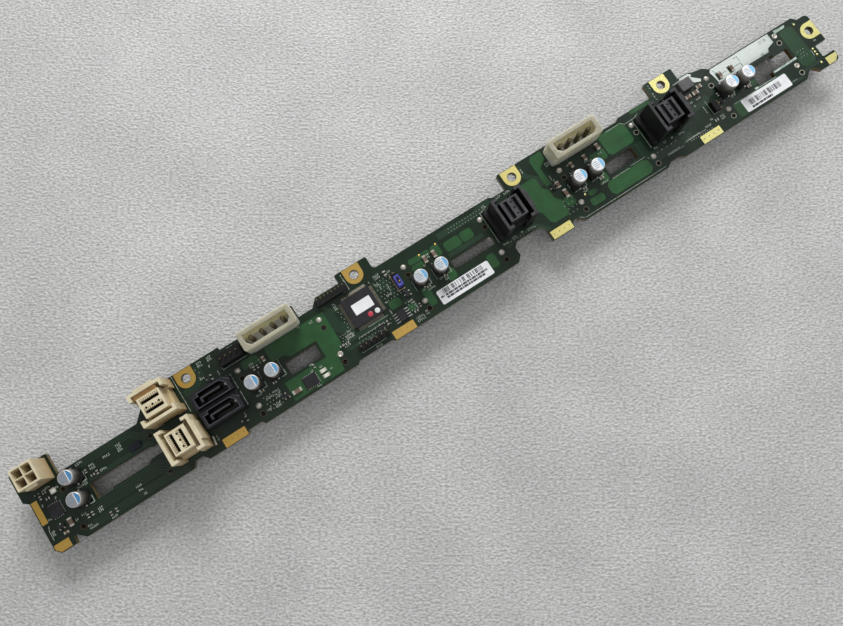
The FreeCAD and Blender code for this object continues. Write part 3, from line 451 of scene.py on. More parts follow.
# %% Give every CAD node its finish
FINISH_OF_SLOT = {
    "green_laminate": board_finish, "gold_pad": gold, "black_moulding": black_plastic,
    "grey_black_moulding": grey_black_plastic, "cream_moulding": cream,
    "ivory_moulding": ivory, "spring_contact": spring, "tinned_metal": tin,
    "can_aluminium": tin, "chip_moulding": chip_plastic, "ceramic_body": ceramic,
    "resistor_body": lacquer, "lamp_body": lamp_white, "label_paper": paper,
    "blue_cap": blue_plastic, "inductor_body": ferrite,
}
FINISH_OF_NODE = {
    node: finish for finish, nodes in (
        (link_plastic, ("dark_link_1", "dark_link_2")),
        (header_plastic, ("jumper_headers", "service_header", "edge_header", "fan_header")),
        (logic_plastic, ("logic_chip",)),
        (dull_and_shaded_pin, ("header_pins", "disk_power_pins_1", "disk_power_pins_2",
                    "power_header_pins")),
        (fine_lead, ("controller_leads",)),
        (shaded_contact, ("serial_contacts", "pale_link_1_contacts", "pale_link_2_contacts",
                          "dark_link_1_contacts", "dark_link_2_contacts")),
    ) for node in nodes
}
for name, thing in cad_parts.items():
    chosen = FINISH_OF_NODE.get(name, FINISH_OF_SLOT[thing.data.materials[0].name])
    thing.data.materials[0] = chosen.material
print("finished nodes:", len(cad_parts))

# %% [markdown]
# Under the solder mask lie copper areas, which show as paler green fields with cut corners. Each
# one is a thin sheet with its own outline, 0.03 mm proud of the mask, so its edge catches the light
# as the real step over the copper does. Here and below, an outline or a path in a table is a flat
# run of x and y, point after point.

# %% Copper fields under the mask
pour_finish = Finish("mask over copper", (40, 84, 46), 0.3, specular=0.4)
# Painted light and shade along the board: the fields are painted dark at the left end and lightest
# past the middle.
pour_painted_light = pour_finish.ramp(
    pour_finish.slope("X", *BOARD_SPAN), (0.0, (26, 52, 30)), (0.35, (38, 84, 44)),
    (0.75, (44, 90, 50)), (1.0, (34, 66, 42)))
pour_finish.paint(pour_finish.multiply(
    pour_painted_light, pour_finish.mottle(6, grey(205), WHITE, 4), 0.8))
pour_finish.relief(pour_finish.noise(0.9, 2), 0.004)


def field(left, right, low, high, cut=0.8):
    """A rectangle with its four corners cut."""
    return [
        (left + cut, low), (right - cut, low), (right, low + cut), (right, high - cut),
        (right - cut, high), (left + cut, high), (left, high - cut), (left, low + cut),
    ]


def sheets(outlines, low, high):
    """Flat outlines, all raised between the same two levels."""
    return join([prism(outline, low, high) for outline in outlines])


FIELDS = [
    (14.2, -5, 20.2, -5, 22.4, -6.9, 34.8, -6.9, 34.8, -15.4, 14.2, -15.4, 14.2, -24.4,
     38.6, -24.4, 39.6, -16.2, 42.6, -15.6, 43.6, -13, 43.6, 2.4, 14.2, 2.4),
    field(2.4, 10.2, -1.6, 2.4), field(69.6, 75.2, -13.6, -9.6), field(76.2, 80, -18.6, -15.4),
    field(86.8, 97.6, -1.2, 1.5), field(98.3, 102.4, -4.2, 1.5), field(86.8, 93.2, -4.4, -1.7),
    field(104.4, 112.3, -5, -0.1), field(112.8, 118.8, -5, -0.1), field(84.9, 88.6, -21.4, -12.4),
    field(98, 102.6, -16.4, -11.2), field(117.3, 121.2, -21.9, -15.4),
    (158.7, -3.2, 161.6, -3.2, 161.2, 5.6, 165.6, 8.2, 165.6, 12.4, 160.4, 12.4, 158.7, 10.8),
    (147.6, -9.8, 150.2, -12.6, 151, -17.6, 152.6, -19.2, 159.8, -19.2, 161.2, -17.6,
     161.2, -12.2, 159, -9.6, 158.7, -5, 156.4, -2.2, 156.4, 2.4, 155.4, 3.5, 147.6, 3.5),
    field(161.8, 166.4, -16.8, -11.8), field(173, 177.6, -17.8, -15.4),
    field(171.6, 178.8, -22.4, -18.7), field(182.4, 205.2, -23.3, -16.4, 1.6),
    field(183.2, 191, -6.6, -1.6), field(180.9, 185.4, -16, -11.6), field(191.8, 206, -6.9, 4, 1.4),
    field(211.4, 222.8, 4.4, 6.2, 0.5), field(254.6, 285.6, -24.2, -16.8),
    field(295.1, 302.9, -20.4, 0.6, 1.4), field(268.3, 271.2, -14.8, -11.9, 0.5),
]
FIELD_TOP = 0.03
piece("copper_fields", sheets(FIELDS, 0.0, FIELD_TOP), pour_finish)

# %% [markdown]
# The copper at the right end is smoother than the rest, so it mirrors the window lamp and shows as
# one pale sheet. It has its own finish with a low roughness. Three narrow pale strips near it are
# painted highlights, glints along copper edges, and thin printed outlines without gloss cross it.

# %% Polished copper fields at the right end
def mottled(name, base, roughness, size, dark, pale, low=0.3, high=0.7, **sockets):
    """A finish with two tones in blots and nothing more."""
    made = Finish(name, base, roughness, **sockets)
    return made.paint(made.mottle(size, dark, pale, low=low, high=high))


bright_finish = mottled("polished mask over copper", (60, 92, 72), 0.07, 5,
                        (52, 82, 64), (72, 104, 84), specular=1.0,
                        Coat_Weight=1.0, Coat_Roughness=0.05)
bright_finish.relief(bright_finish.noise(2.5, 2), 0.003)
BRIGHT_FIELDS = [
    (256.2, -4.9, 285.4, -4.9, 286.4, -3.2, 290.4, -2, 290.4, 2.9, 256.2, 2.9, 255.2, 1.4,
     255.8, -1),
    (236.6, 5.4, 240.6, 5.4, 244, 5.2, 246.4, 1.4, 249.2, 0.4, 250, 1.4, 246.2, 4.8, 247.2, 5.6,
     246, 6.9, 241, 6.9, 240.8, 6.1, 236.6, 6.1),
]
piece("bright_fields", sheets(BRIGHT_FIELDS, 0.0, FIELD_TOP), bright_finish)
pale_strip = mottled("pale mask strip", (176, 194, 186), 0.3, 1.4,
                     (120, 146, 132), (196, 212, 204), low=0.35, high=0.6)
# Painted highlights: pale strips standing in for glints along the copper edges.
GLINT_STRIPS = [
    (293.6, 0.9, 299.6, 1.2, 300.2, 2.3, 293.6, 2.6),
    (281.2, -14.9, 295.4, -14.7, 296.6, -14.1, 295.2, -13.7, 281.2, -14),
    (268.6, -16.9, 281, -16.9, 281, -16.5, 270.8, -16.5, 270.4, -15.9, 268.6, -15.9),
]
piece("pale_strips", sheets(GLINT_STRIPS, 0.0, FIELD_TOP), pale_strip)
dull_print = mottled("print without gloss", (52, 74, 64), 0.8, 0.9, (34, 54, 46),
                     (92, 116, 106), low=0.35, high=0.65, specular=0.05)
DULL_LINES = [
    (258.9, -1.7, 262.6, -1.7), (265.6, -2.1, 270.6, -2.1, 270.6, -4.4),
    (268.6, 1.4, 270.9, 1.4, 270.9, -1.4), (283.9, 1.6, 285.6, 1.6),
    (286.2, 1.6, 287.6, 1.6, 287.6, 0.7, 286.2, 0.7), (283.9, 0.7, 285.4, 0.7),
    (281, -3.9, 282.6, -3.9, 282.6, -4.6, 281, -4.6), (256.6, 1.9, 257.6, 0.2, 256.6, -0.6),
]
FINE_LINE = 0.22
piece("dull_outlines",
      sheets([ribbon(line, FINE_LINE) for line in DULL_LINES], FIELD_TOP - 0.01, FIELD_TOP + 0.02),
      dull_print)

# %% [markdown]
# Between the copper fields run traces: bundles of fine parallel lines that bend together at 45
# degrees. A bundle is one path, repeated at an even spacing, and each line is a ribbon. They are
# only a little paler than the mask, as copper is when it shows through.

# %% Traces under the mask
TRACE_TOP = 0.02


def bundle(path, count, pitch):
    """Parallel ribbons: line k is the path pushed sideways by k pitches along its mitres."""
    path = track(path)
    push = ribbon(path, 1.0)[len(path):][::-1] - path
    shifts = (np.arange(count) - (count - 1) / 2) * pitch * 2
    return [ribbon(path + push * shift, FINE_LINE) for shift in shifts]


# Each row: the path of the middle line, how many lines, their pitch.
BUNDLES = [
    ((-84, -17, -47, -17, -44, -19.5, -26, -19.5), 5, 1.1),
    ((-82.5, -22.6, -46, -22.6, -43.5, -24, -37, -24), 4, 0.8),
    ((-76, 1.6, -52, 1.6, -47.5, -2, -43, -2), 4, 0.8), ((-74, -6, -47, -6, -45, -7.2), 3, 0.6),
    ((-24, 3.4, -18, 3.4, -14, 7, -14, 11.5), 4, 0.7),
    ((45.4, 2.4, 45.4, -6, 48.6, -9.6, 48.6, -13), 7, 0.7), ((44.2, 4.4, 49.4, -1.2), 2, 0.8),
    ((47, -14.6, 51.6, -14.6, 66, -14.6), 3, 0.7), ((44, -18, 58, -18), 2, 0.7),
    ((68.6, -1.5, 72.8, -1.5, 75.2, -4, 75.2, -9), 6, 0.65), ((104, -6.4, 122, -6.4), 3, 0.7),
    ((104, 3.4, 124, 3.4, 128, 5.2, 133, 5.2), 5, 0.6),
    ((128, -17.4, 133, -15.6, 144.4, -15.6, 149, -20.4), 3, 0.7),
    ((152.8, 12, 152.8, 6.4, 157.4, 2, 157.4, -2), 4, 0.6),
    ((206, -8, 206, -15, 209.6, -18.6, 230, -18.6), 5, 0.8), ((225.6, 12.6, 225.6, 6), 3, 0.6),
    ((237, -9, 244, -9, 247, -7), 4, 0.7),
    ((286, -23.6, 291, -23.6, 295.4, -21.4, 304, -21.4), 2, 0.7),
]
trace_finish = Finish("mask over traces", (44, 70, 46), 0.32)
# The ramp along the board is painted light and shade: the traces are painted darker at the left
# end.
trace_finish.paint(trace_finish.ramp(
    trace_finish.slope("X", *BOARD_SPAN), (0.0, (26, 46, 30)), (0.4, (44, 76, 50)),
    (1.0, (46, 72, 56))))
trace_finish.relief(trace_finish.noise(0.8, 2), 0.004)
piece("traces", sheets([line for row in BUNDLES for line in bundle(*row)], 0.0, TRACE_TOP),
      trace_finish)

# %% [markdown]
# Vias are tiny plated holes. They cluster where traces change layer: beside the controller, under
# the receptacles and along the pad strips. Each is a low six sided stud, and a cluster is a grid
# with every second row shifted. The pad strips have a row of four faint dimples each.

# %% Vias
def stamped(outline, centres, low, high):
    """One flat outline repeated at many places."""
    return sheets([outline + np.asarray(centre)[:2] for centre in centres], low, high)


def studs(centres, diameter, low, high, sides=6):
    """Low prisms of even-sided outline at many places."""
    return stamped(diameter / 2 * circle(sides, 0.5), centres, low, high)


def grid(left, right, low, high, pitch):
    """Places on a grid whose every second row is shifted by half a pitch."""
    hair = 1e-6
    return [(x, y) for number, y in enumerate(np.arange(low, high + hair, pitch))
            for x in np.arange(left + pitch / 2 * (number % 2), right + hair, pitch)]


# Each row: x from and to, y from and to, pitch.
VIA_FIELDS = [
    (69, 79, -9, 1, 1.6), (76.2, 80.6, -19.8, -12.6, 1.5), (3.4, 10.6, -22, -15.4, 1.5),
    (44.6, 49.6, -13.6, -10.4, 1.2), (50.2, 67, -18, -15.6, 1.6), (109.6, 130.6, 2.6, 5.4, 1.5),
    (-20.8, -14, 6.2, 11.8, 1.9), (-96, -88, 0.4, 2, 1.7), (206, 224, -17, -16, 2.6),
    (131, 144, -15.8, -14.4, 1.6), (160.4, 166.4, -19.4, -13, 2.1), (228, 240, -21, -20, 1.3),
    (49.4, 50.4, -12, 1.8, 1.3), (297.2, 300.4, -15.4, -12, 1.6),
]
VIA_DIAMETER, VIA_TOP = 0.42, 0.035
DIMPLE_DIAMETER, DIMPLE_LOW, DIMPLE_TOP, DIMPLE_PITCH = 0.6, 0.06, 0.075, 2.7
via_spots = [spot for row in VIA_FIELDS for spot in grid(*row)]
piece("vias", studs(via_spots, VIA_DIAMETER, 0.0, VIA_TOP), tin)
dimple_spots = [(x + step * DIMPLE_PITCH, -23.4) for x in (-18.9, 65.6, 149.2, 233.6)
                for step in range(4)]
dimple_finish = mottled("pad dimples", (120, 92, 40), 0.5, 0.5,
                        (136, 108, 52), (180, 146, 78))
piece("pad_dimples", studs(dimple_spots, DIMPLE_DIAMETER, DIMPLE_LOW, DIMPLE_TOP),
      dimple_finish)

# %% [markdown]
# Test points are gold dots where a probe touches the board during its factory test. A flat disc
# would do from far away, but a low dome catches the light, so all eight are turned from one
# profile.

# %% Test points
TEST_POINTS = [
    (92.8, 0.9), (101.6, 1.3), (171.5, -15.6), (304.5, -0.1), (304.5, -14.8), (304.5, -16.5),
    (304.5, -18.1), (303.8, -22.4),
]
point_profile = [(0, 0.0), (0.55, 0.0), (0.55, 0.05), (0.4, 0.16), (0.18, 0.22), (0, 0.24)]
piece("test_points", lathe(point_profile, [(x, y, 0) for x, y in TEST_POINTS], 12),
      gold, smooth=True)

# %% [markdown]
# White print marks the outline of each connector and stands beside each small part. Lines are
# ribbons. The marks beside the parts are read by nobody here, so they are plain groups of upright
# and level bars in even rows, with no letters in them.

# %% White print
print_finish = mottled("white print", (168, 176, 166), 0.6, 0.35,
                       (120, 138, 122), (196, 202, 192), low=0.36, high=0.6)
PRINT_LOW, PRINT_TOP = 0.0, 0.045
OUTLINES = [
    (-25.1, -4.4, -25.1, 13), (-3.4, 0.4, -3.4, -6.6, -6, -6.6), (-6, 0.4, -3.4, 0.4),
    (-5.8, -14.6, -3.4, -14.6, -3.4, -8), (126.2, -13.6, 126.2, 2.4, 130.6, 3.8),
    (210.2, -13.8, 210.2, 2.2), (58.9, 4.6, 58.9, 9.2), (55.6, 4.6, 58.9, 4.6),
    (49, -22.4, 49, -19.2, 55.6, -19.2), (60.8, -22.4, 60.8, -19), (49, -22.4, 60.8, -22.4),
    (-74.9, -4.4, -74.9, -1.4), (-76.4, -14.8, -76.4, -11.6), (-78.4, -14.8, -76.4, -14.8),
    (6.9, -4.9, 6.9, -8.6), (16.6, -4.6, 16.6, -11.8), (83.6, -12.4, 83.6, -7.4, 85.4, -5),
    (93.9, -12.4, 93.9, -7.4, 95.8, -5), (168.2, -12.4, 174.4, -12.4), (177.6, -12.4, 184, -12.4),
    (-4.9, 9.9, -4.9, 3.6, 6.6, 3.6), (165.6, -24.6, 210.6, -24.6), (163.4, -23, 165.2, -24.5),
    (186.4, -16.2, 196, -16.2), (197, -15.7, 205, -15.7), (214.6, -21, 223.6, -21),
    (225, -20, 237, -20), (162.6, 0.6, 162.6, -2.2), (244.6, -8.6, 244.6, -16.2),
    (244.6, -16.2, 247.6, -16.2), (57, -14.2, 67, -14.2), (51, -16, 64, -16),
    (49.4, -13.8, 49.4, -12.8, 50.6, -12.8), (67.6, 2.9, 67.6, 1.9), (255.8, -17.2, 270.2, -17.2),
    (-96.8, -13.4, -97.6, -15.4, -97.6, -19.6), (285.6, -22.9, 288.8, -22.9),
    (204.2, 4, 206.4, 2.2, 212, 2.4, 214.4, 3.4), (196.4, 3.7, 203.6, 3.7),
]
# Each row: x and y of its lower left corner, how many marks, their height, how many lines.
MARKS = [
    (-76.2, 1.8, 4, 1), (-71.8, -2.8, 3, 1, 2), (-65.2, -1.6, 4, 1), (-58.6, -2.6, 3, 0.9, 3),
    (-68.6, -5.6, 4, 0.9), (-59.6, -19.6, 4), (-59.2, -21.4, 3), (-58, -23.6, 2),
    (-83.6, -17.4, 3, 0.9), (-76.8, -19.9, 3, 0.9, 2), (-83.4, -22.6, 3), (-83.2, -23.9, 6),
    (-73.6, -25, 4), (-76.6, -7, 2, 0.9, 2), (-95.4, -5.6, 1, 1.2), (-89.4, -5.6, 1, 1.2),
    (-95.8, -11.8, 2, 1), (-97, -18.2, 2, 0.9, 2), (-92, 0.2, 4, 0.9), (-87.4, -1.8, 2, 0.9),
    (-79.8, -6.8, 4, 0.9), (-86.6, -17.8, 2, 0.9), (-13.4, 10, 3, 1, 2), (-8.6, 10.2, 3, 0.9, 2),
    (-15.2, 4.8, 3, 0.9), (-9.4, 7.6, 1, 1.1), (-7.4, 2.4, 1, 0.9, 2), (-26.2, -19.8, 1, 0.9, 2),
    (-21.4, -21.2, 1, 1, 2), (-6.8, -18.2, 1, 1.2), (-5.2, 9.9, 4), (1, 10.2, 4),
    (5.2, -2.4, 3, 0.9, 2), (9.8, -2.6, 1, 0.9, 2), (1.2, -14.2, 4), (4.2, -17.4, 5, 0.9),
    (8, -19, 4, 0.9, 3), (2.2, -21.8, 3), (6, -22.6, 4, 0.8, 2), (27, -15.2, 2, 0.9),
    (26, -17.6, 2), (30.2, -18, 2), (33.8, -21, 2), (25.2, -24.6, 3), (36.4, 0.6, 2, 1.1),
    (31, 1.8, 2), (48.8, -0.4, 2, 0.9, 3), (48, -11.4, 2, 0.9), (44, -16.6, 4, 0.9, 2),
    (46.6, -14.2, 5, 0.9, 2), (58.6, 8.6, 1, 1, 3), (70.4, 1.8, 4, 0.9, 2), (76.2, 1.6, 3, 0.9),
    (69, -0.6, 3), (70.6, -3.2, 1, 0.8, 3), (73.6, -5.4, 1, 0.8, 3), (71, -7.2, 4), (69, -9.6, 2),
    (77.6, -14.6, 3), (79.6, -19.4, 1, 0.9, 3), (76.6, -24.2, 5, 1, 2), (81.6, -23.4, 2, 0.9, 2),
    (68.6, -14.8, 1, 0.9, 2), (54, -19.6, 5, 0.9), (55.4, -24, 4, 0.9), (60.6, -20.6, 3, 0.9, 2),
    (86, -13.6, 2), (88.2, -14.8, 5), (94.8, -13.4, 3), (96.8, -15, 3), (95.4, -2.4, 2, 0.9, 2),
    (92, -4.6, 2), (128.4, 3.9, 2, 1), (136.4, 4, 3, 1), (140.4, 3.8, 4, 1), (127.2, -15.8, 4, 0.9),
    (132.2, -15.4, 3, 0.9), (137, -15.2, 2), (140, -15.8, 5, 0.9), (153, 7.6, 1, 1, 2),
    (164, 4.4, 3, 0.9, 2), (163.2, -4, 1, 0.8, 2), (171.2, -4.4, 4), (172, -0.4, 2), (180, -3.2, 3),
    (182, -4, 3, 0.7), (187.6, -3.4, 3), (189.6, -0.8, 2, 0.7), (171.6, -14.8, 4), (180.4, -16, 6),
    (167.2, -9.6, 1, 0.9, 2), (211, -15.2, 3), (216.4, -15.2, 2, 0.9), (220.6, -15.2, 2),
    (224.8, -15.8, 4, 0.9), (215, -20.9, 10), (226, -20.2, 12), (237.4, -19.6, 5),
    (226, 4, 1, 1, 3), (226.4, 10, 1, 0.9, 2), (238.4, -6.2, 2), (241.8, -6.2, 4),
    (242.2, -13.8, 1, 0.9, 3), (241.6, -17.8, 2), (246.4, -20.2, 3, 0.9, 2), (256.6, -14, 2),
    (304, 0.2, 1, 0.9), (307.4, -12.2, 2), (303, -18, 1, 0.9, 3), (239.2, -8.6, 1, 0.9),
]
STROKE, MARK_PITCH, MARK_WIDTH, LINE_PITCH = 0.17, 0.85, 0.55, 1.35
RUNGS = ((0,), (0, 2), (1, 2), (1,))


def mark_bars(x, y, count, height=0.8, lines=1):
    """Boxes for rows of plain marks: an upright bar each, and level bars at one or two of three
    heights. The pitches are shares of the height."""
    rows = []
    for line in range(lines):
        low = y + line * height * LINE_PITCH
        for number in range(count):
            left = x + number * height * MARK_PITCH
            kind = (number * 5 + line * 3 + int(abs(x) * 2)) % len(RUNGS)
            rows.append((left, left + STROKE, low, low + height))
            for rung in RUNGS[kind]:
                level = low + rung * (height - STROKE) / 2
                rows.append((left + STROKE, left + height * MARK_WIDTH, level, level + STROKE))
    return [(*row, PRINT_LOW, PRINT_TOP) for row in rows]


def printed(paths, width=STROKE):
    """Lines of print along paths."""
    return sheets([ribbon(path, width) for path in paths], PRINT_LOW, PRINT_TOP)


strokes = boxes([bar for row in MARKS for bar in mark_bars(*row)])
piece("white_print", join([strokes, printed(OUTLINES)]), print_finish)

# %% [markdown]
# The polymer capacitors are drawn aluminium cans crimped on to a moulded base. A can is a profile
# turned about its axis: a groove above the base and a straight wall. A second profile, in its own
# finish, is the rolled edge.

# %% Capacitor cans
can_low, can_high = can_boxes[:, 2].min(), can_boxes[:, 5].max()
can_radius = (can_boxes[0, 3] - can_boxes[0, 0]) / 2
can_spots = [(*((row[:2] + row[3:5]) / 2), 0.0) for row in can_boxes]
CAN_SIDES = 40
# Each point: how far in from the wall, and how far up from the foot or down from the top.
FOOT = ((0.25, 0), (0.05, 0.25), (0, 0.7), (0.22, 0.95), (0.22, 1.25), (0, 1.5))
EDGE = ((0, 0.52), (0.02, 0.36), (0.1, 0.2), (0.24, 0.09), (0.4, 0.05), (0.55, 0.06))
WALL_DROP = 0.5
can_profile = [(0, can_low), *((can_radius - inset, can_low + rise) for inset, rise in FOOT),
               (can_radius, can_high - WALL_DROP), (0, can_high - WALL_DROP)]
edge_profile = [(0, can_high - EDGE[0][1]),
                *((can_radius - inset, can_high - drop) for inset, drop in EDGE),
                (0, can_high - EDGE[-1][1])]
can_wall = Finish("drawn aluminium", (150, 147, 142), 0.42, metallic=0.6)
# The ramp up the wall is painted shade: the can is painted darker towards its foot near the board.
can_wall.paint(can_wall.multiply(
    can_wall.mottle(1.6, (128, 126, 122), (164, 161, 156), 3, (1, 1, 8)),
    can_wall.ramp(can_wall.slope("Z", 1.5, 9.0), (0.0, (96, 92, 88)),
                  (0.45, (206, 204, 202)), (1.0, WHITE))))
can_wall.gloss(can_wall.noise(0.8, 3, (1, 1, 20)), 0.36, 0.5)
piece("capacitor_shells", lathe(can_profile, can_spots, CAN_SIDES), can_wall,
      smooth=True, replaces=("capacitor_cans",))
rolled = mottled("rolled can edge", (214, 210, 208), 0.35, 1.2,
                 (196, 190, 188), (230, 226, 224), metallic=0.3)
piece("capacitor_rims", lathe(edge_profile, can_spots, CAN_SIDES), rolled,
      smooth=True)

# %% [markdown]
# The flat top of a can is printed with a blue sector, a white strip beside it and the can's values.
# An image could carry that, but thin sheets keep their edges sharp up close. The values are four
# rows of plain blocks. Cans further right reflect more of the room, so the tops brighten along the
# board.

# %% Printed can tops
TOP_RADIUS = can_radius - 0.3
BLUE_FROM, WHITE_FROM = 0.42, 0.3


def cap_sector(start, end, radius, sides=24):
    """The part of a circle between two upright chords, given as shares of the radius."""
    spread = np.linspace(-math.acos(start), math.acos(start), sides)
    arc = np.stack([np.cos(spread), np.sin(spread)], 1)
    arc = arc[arc[:, 0] <= end + 1e-9]
    if end < 1:
        top = arc[arc[:, 1] > 0]
        low = arc[arc[:, 1] < 0]
        rim = [(end, -math.sqrt(1 - end ** 2)), (end, math.sqrt(1 - end ** 2))]
        arc = np.vstack([low, rim, top])
    return arc * radius


top_print = Finish("printed can top", (200, 202, 206), 0.42)
CAN_SPAN = (-85, 265)
top_shade = top_print.ramp(top_print.slope("X", *CAN_SPAN), (0.0, (142, 142, 144)),
                           (0.45, (196, 200, 204)), (0.85, WHITE))
top_specks = top_print.mottle(0.7, (176, 194, 214), (255, 252, 248), 4, low=0.4, high=0.55)
top_print.paint(top_print.multiply(top_shade, top_specks, 0.35))
blue_print = Finish("blue can print", (96, 170, 226), 0.4)
blue_print.paint(blue_print.ramp(blue_print.slope("X", *CAN_SPAN), (0.0, (66, 128, 176)),
                                 (1.0, (140, 208, 250))))
plain_print = mottled("white can print", (226, 228, 230), 0.45, 1.0,
                      (206, 208, 210), (240, 241, 242))
ink = mottled("blue ink", (92, 122, 152), 0.5, 0.6, (78, 108, 140), (120, 148, 176))
disc_level = can_high - EDGE[-1][1]
SECTOR_RADIUS = TOP_RADIUS - 0.12


def on_cans(outline, low, high):
    """One flat outline repeated on every can, at levels measured from the disc."""
    return stamped(outline, can_spots, disc_level + low, disc_level + high)


piece("can_top_discs", on_cans(TOP_RADIUS * circle(CAN_SIDES), -0.02, 0.01),
      top_print)
piece("can_top_blue", on_cans(cap_sector(BLUE_FROM, 1.0, SECTOR_RADIUS), 0.0, 0.02),
      blue_print)
piece("can_top_white", on_cans(cap_sector(WHITE_FROM, BLUE_FROM, SECTOR_RADIUS), 0.0, 0.015),
      plain_print)
ink_rows = []
for x, y, _ in can_spots:
    for line, level in enumerate((-1.25, -0.35, 0.55, 1.45)):
        for number in range(4 if 0 < line < 3 else 3):
            left = x - 2.1 + number * 0.72 + 0.2 * (line % 2)
            ink_rows.append((left, left + 0.42, y + level - 0.2, y + level + 0.2,
                             disc_level, disc_level + 0.02))
piece("can_top_ink", boxes(ink_rows), ink)

# %% [markdown]
# A capacitor's base is a square with two cut corners, and a printed bracket round it shows which
# way it goes. The tinned tabs that are soldered to the board stick out on its two plain sides.

# %% Capacitor tabs and brackets
tabs, brackets = [], []
for x_low, y_low, _, x_high, y_high, _ in solids("capacitor_bases"):
    middle = (x_low + x_high) / 2
    tabs += [(middle - 0.4, middle + 0.4, y_low - 0.6, y_low + 0.1, 0, 0.25),
             (middle - 0.4, middle + 0.4, y_high - 0.1, y_high + 0.6, 0, 0.25)]
    brackets.append([(x_high + 0.35, y_low + 2.2), (x_high + 0.35, y_low - 0.35),
                     (x_high - 2.0, y_low - 0.35)])
piece("capacitor_tabs", boxes(tabs), tin)
piece("capacitor_brackets", printed(brackets), print_finish)

# %% [markdown]
# Each drive receptacle is soldered through the board by two lock blades, which leave round solder
# domes. Some holes are not quite full, and show a bright ring with a darker middle.

# %% Solder domes
solder = Finish("solder", (190, 186, 176), 0.42, metallic=0.55)
solder_blots = solder.noise(0.6, 4)
solder.paint(solder.ramp(solder_blots, (0.3, (150, 145, 134)), (0.7, (214, 211, 202))))
solder.gloss(solder_blots, 0.5, 0.3)
DOME_RADIUS = 1.36
peg_middles = [tuple((row[:2] + row[3:5]) / 2) for row in peg_boxes]
dome_top = peg_boxes[:, 5].max()


def solder_profile(*shares):
    """A low foot, then points given as shares of the dome's radius and height."""
    foot = [(0, 0.0), (DOME_RADIUS, 0.0), (DOME_RADIUS, 0.06)]
    return foot + [(DOME_RADIUS * out, dome_top * up) for out, up in shares]


dome_profile = solder_profile((0.88, 0.45), (0.62, 0.8), (0.3, 0.96), (0, 1))
ring_profile = solder_profile((0.92, 0.4), (0.76, 0.55), (0.58, 0.4), (0.4, 0.2), (0, 0.18))
# The open ones, as column and row steps from the datum, and which end of the receptacle.
OPEN_JOINTS = [(0, 1, 1), (2, 0, 0), (2, 1, 0), (3, 0, 1), (3, 1, 1)]
open_spots = {(round(column * COLUMN_PITCH + end * LOCK_SPACING, 1), round(-row * ROW_PITCH, 1))
              for column, row, end in OPEN_JOINTS}
open_places, full_places = [], []
for x, y in peg_middles:
    is_open = (round(x, 1), round(y, 1)) in open_spots
    (open_places if is_open else full_places).append((x, y, 0))
print("open joints:", len(open_places), "full joints:", len(full_places))
blades = [(x - 0.75, x + 0.75, y - 0.25, y + 0.25, -THICK, 0.02) for x, y in peg_middles]
piece("solder_domes", join([lathe(dome_profile, full_places, 24),
                            lathe(ring_profile, open_places, 24), boxes(blades)]),
      solder, smooth=True, replaces=("board_locks",))

# %% [markdown]
# Each receptacle also has plastic pegs in round holes. A hole shows a thin rim and, below the
# surface, the dark tip of its peg. Both are turned forms, so the same builder makes them: the rim's
# profile closes on itself. Where a hole lies in a copper field, a dark lid covers the sheet, which
# is simpler than cutting the sheet.

# %% Rings round the locating holes
RIM_SIDES, RIM_TOP = 28, 0.05
PEG_DROP = 3.95
FIRST_COLUMN_PEG = (-85.0, 0.4 - PEG_DROP)
hole_spots = [(x, y - PEG_DROP, 0) for x, y in peg_middles]
hole_spots += [(FIRST_COLUMN_PEG[0] + end * LOCK_SPACING,
                FIRST_COLUMN_PEG[1] - row * ROW_PITCH, 0) for end in (0, 1) for row in (0, 1)]
rim_finish = Finish("hole rim", (66, 52, 30), 0.45)
rim_finish.paint(rim_finish.ramp(rim_finish.slope("X", 150, 250),
                                 (0.0, (58, 44, 24)), (1.0, (150, 152, 140))))
rim_profile = [(1.0, 0.0), (1.32, 0.0), (1.32, RIM_TOP), (1.0, RIM_TOP)]
piece("hole_rims", lathe(rim_profile, hole_spots, RIM_SIDES), rim_finish)
dark_core = moulding("locating peg", (8, 8, 9), (16, 16, 17), specular=0.2)


def inside(outline, x, y):
    """Whether a point is in an outline: a line from it to the right crosses an odd number of
    edges."""
    here = track(outline)
    after = np.roll(here, -1, axis=0)
    spans = (here[:, 1] > y) != (after[:, 1] > y)
    rise = np.where(spans, after[:, 1] - here[:, 1], 1.0)
    crossing = here[:, 0] + (y - here[:, 1]) * (after[:, 0] - here[:, 0]) / rise
    return bool(np.sum(spans & (crossing > x)) % 2)


covered = [spot for spot in hole_spots if any(inside(outline, *spot[:2]) for outline in FIELDS)]
print("holes inside a copper field:", len(covered))
pegs = lathe([(0, -1.2), (0.86, -1.2), (0.86, -0.7), (0.6, -0.45), (0, -0.4)], hole_spots, 20)
lids = stamped(1.02 * circle(RIM_SIDES), covered, -0.01, FIELD_TOP + 0.006)
piece("locating_pegs", join([pegs, lids]), dark_core)

# %% [markdown]
# Small ceramic parts are a coloured block between two silver end caps. The caps are boxes a hair
# larger than the block, placed at both ends of its longer side.

# %% End caps
def end_caps(node, share, proud=0.03):
    """Boxes over both ends of each solid's longer side, each a share of its length."""
    rows = []
    for x_low, y_low, _, x_high, y_high, z_high in solids(node):
        reach = share * max(x_high - x_low, y_high - y_low)
        left, right, front, back = x_low - proud, x_high + proud, y_low - proud, y_high + proud
        if x_high - x_low > y_high - y_low:
            spans = [(left, x_low + reach, front, back), (x_high - reach, right, front, back)]
        else:
            spans = [(left, right, front, y_low + reach), (left, right, y_high - reach, back)]
        rows += [(*span, 0.0, z_high + proud) for span in spans]
    return boxes(rows)


piece("ceramic_end_caps", end_caps("ceramic_capacitors", 0.2), solder)
piece("resistor_end_caps", end_caps("chip_resistors", 0.26), solder)
piece("lamp_end_caps", end_caps("indicator_lights", 0.2), solder)

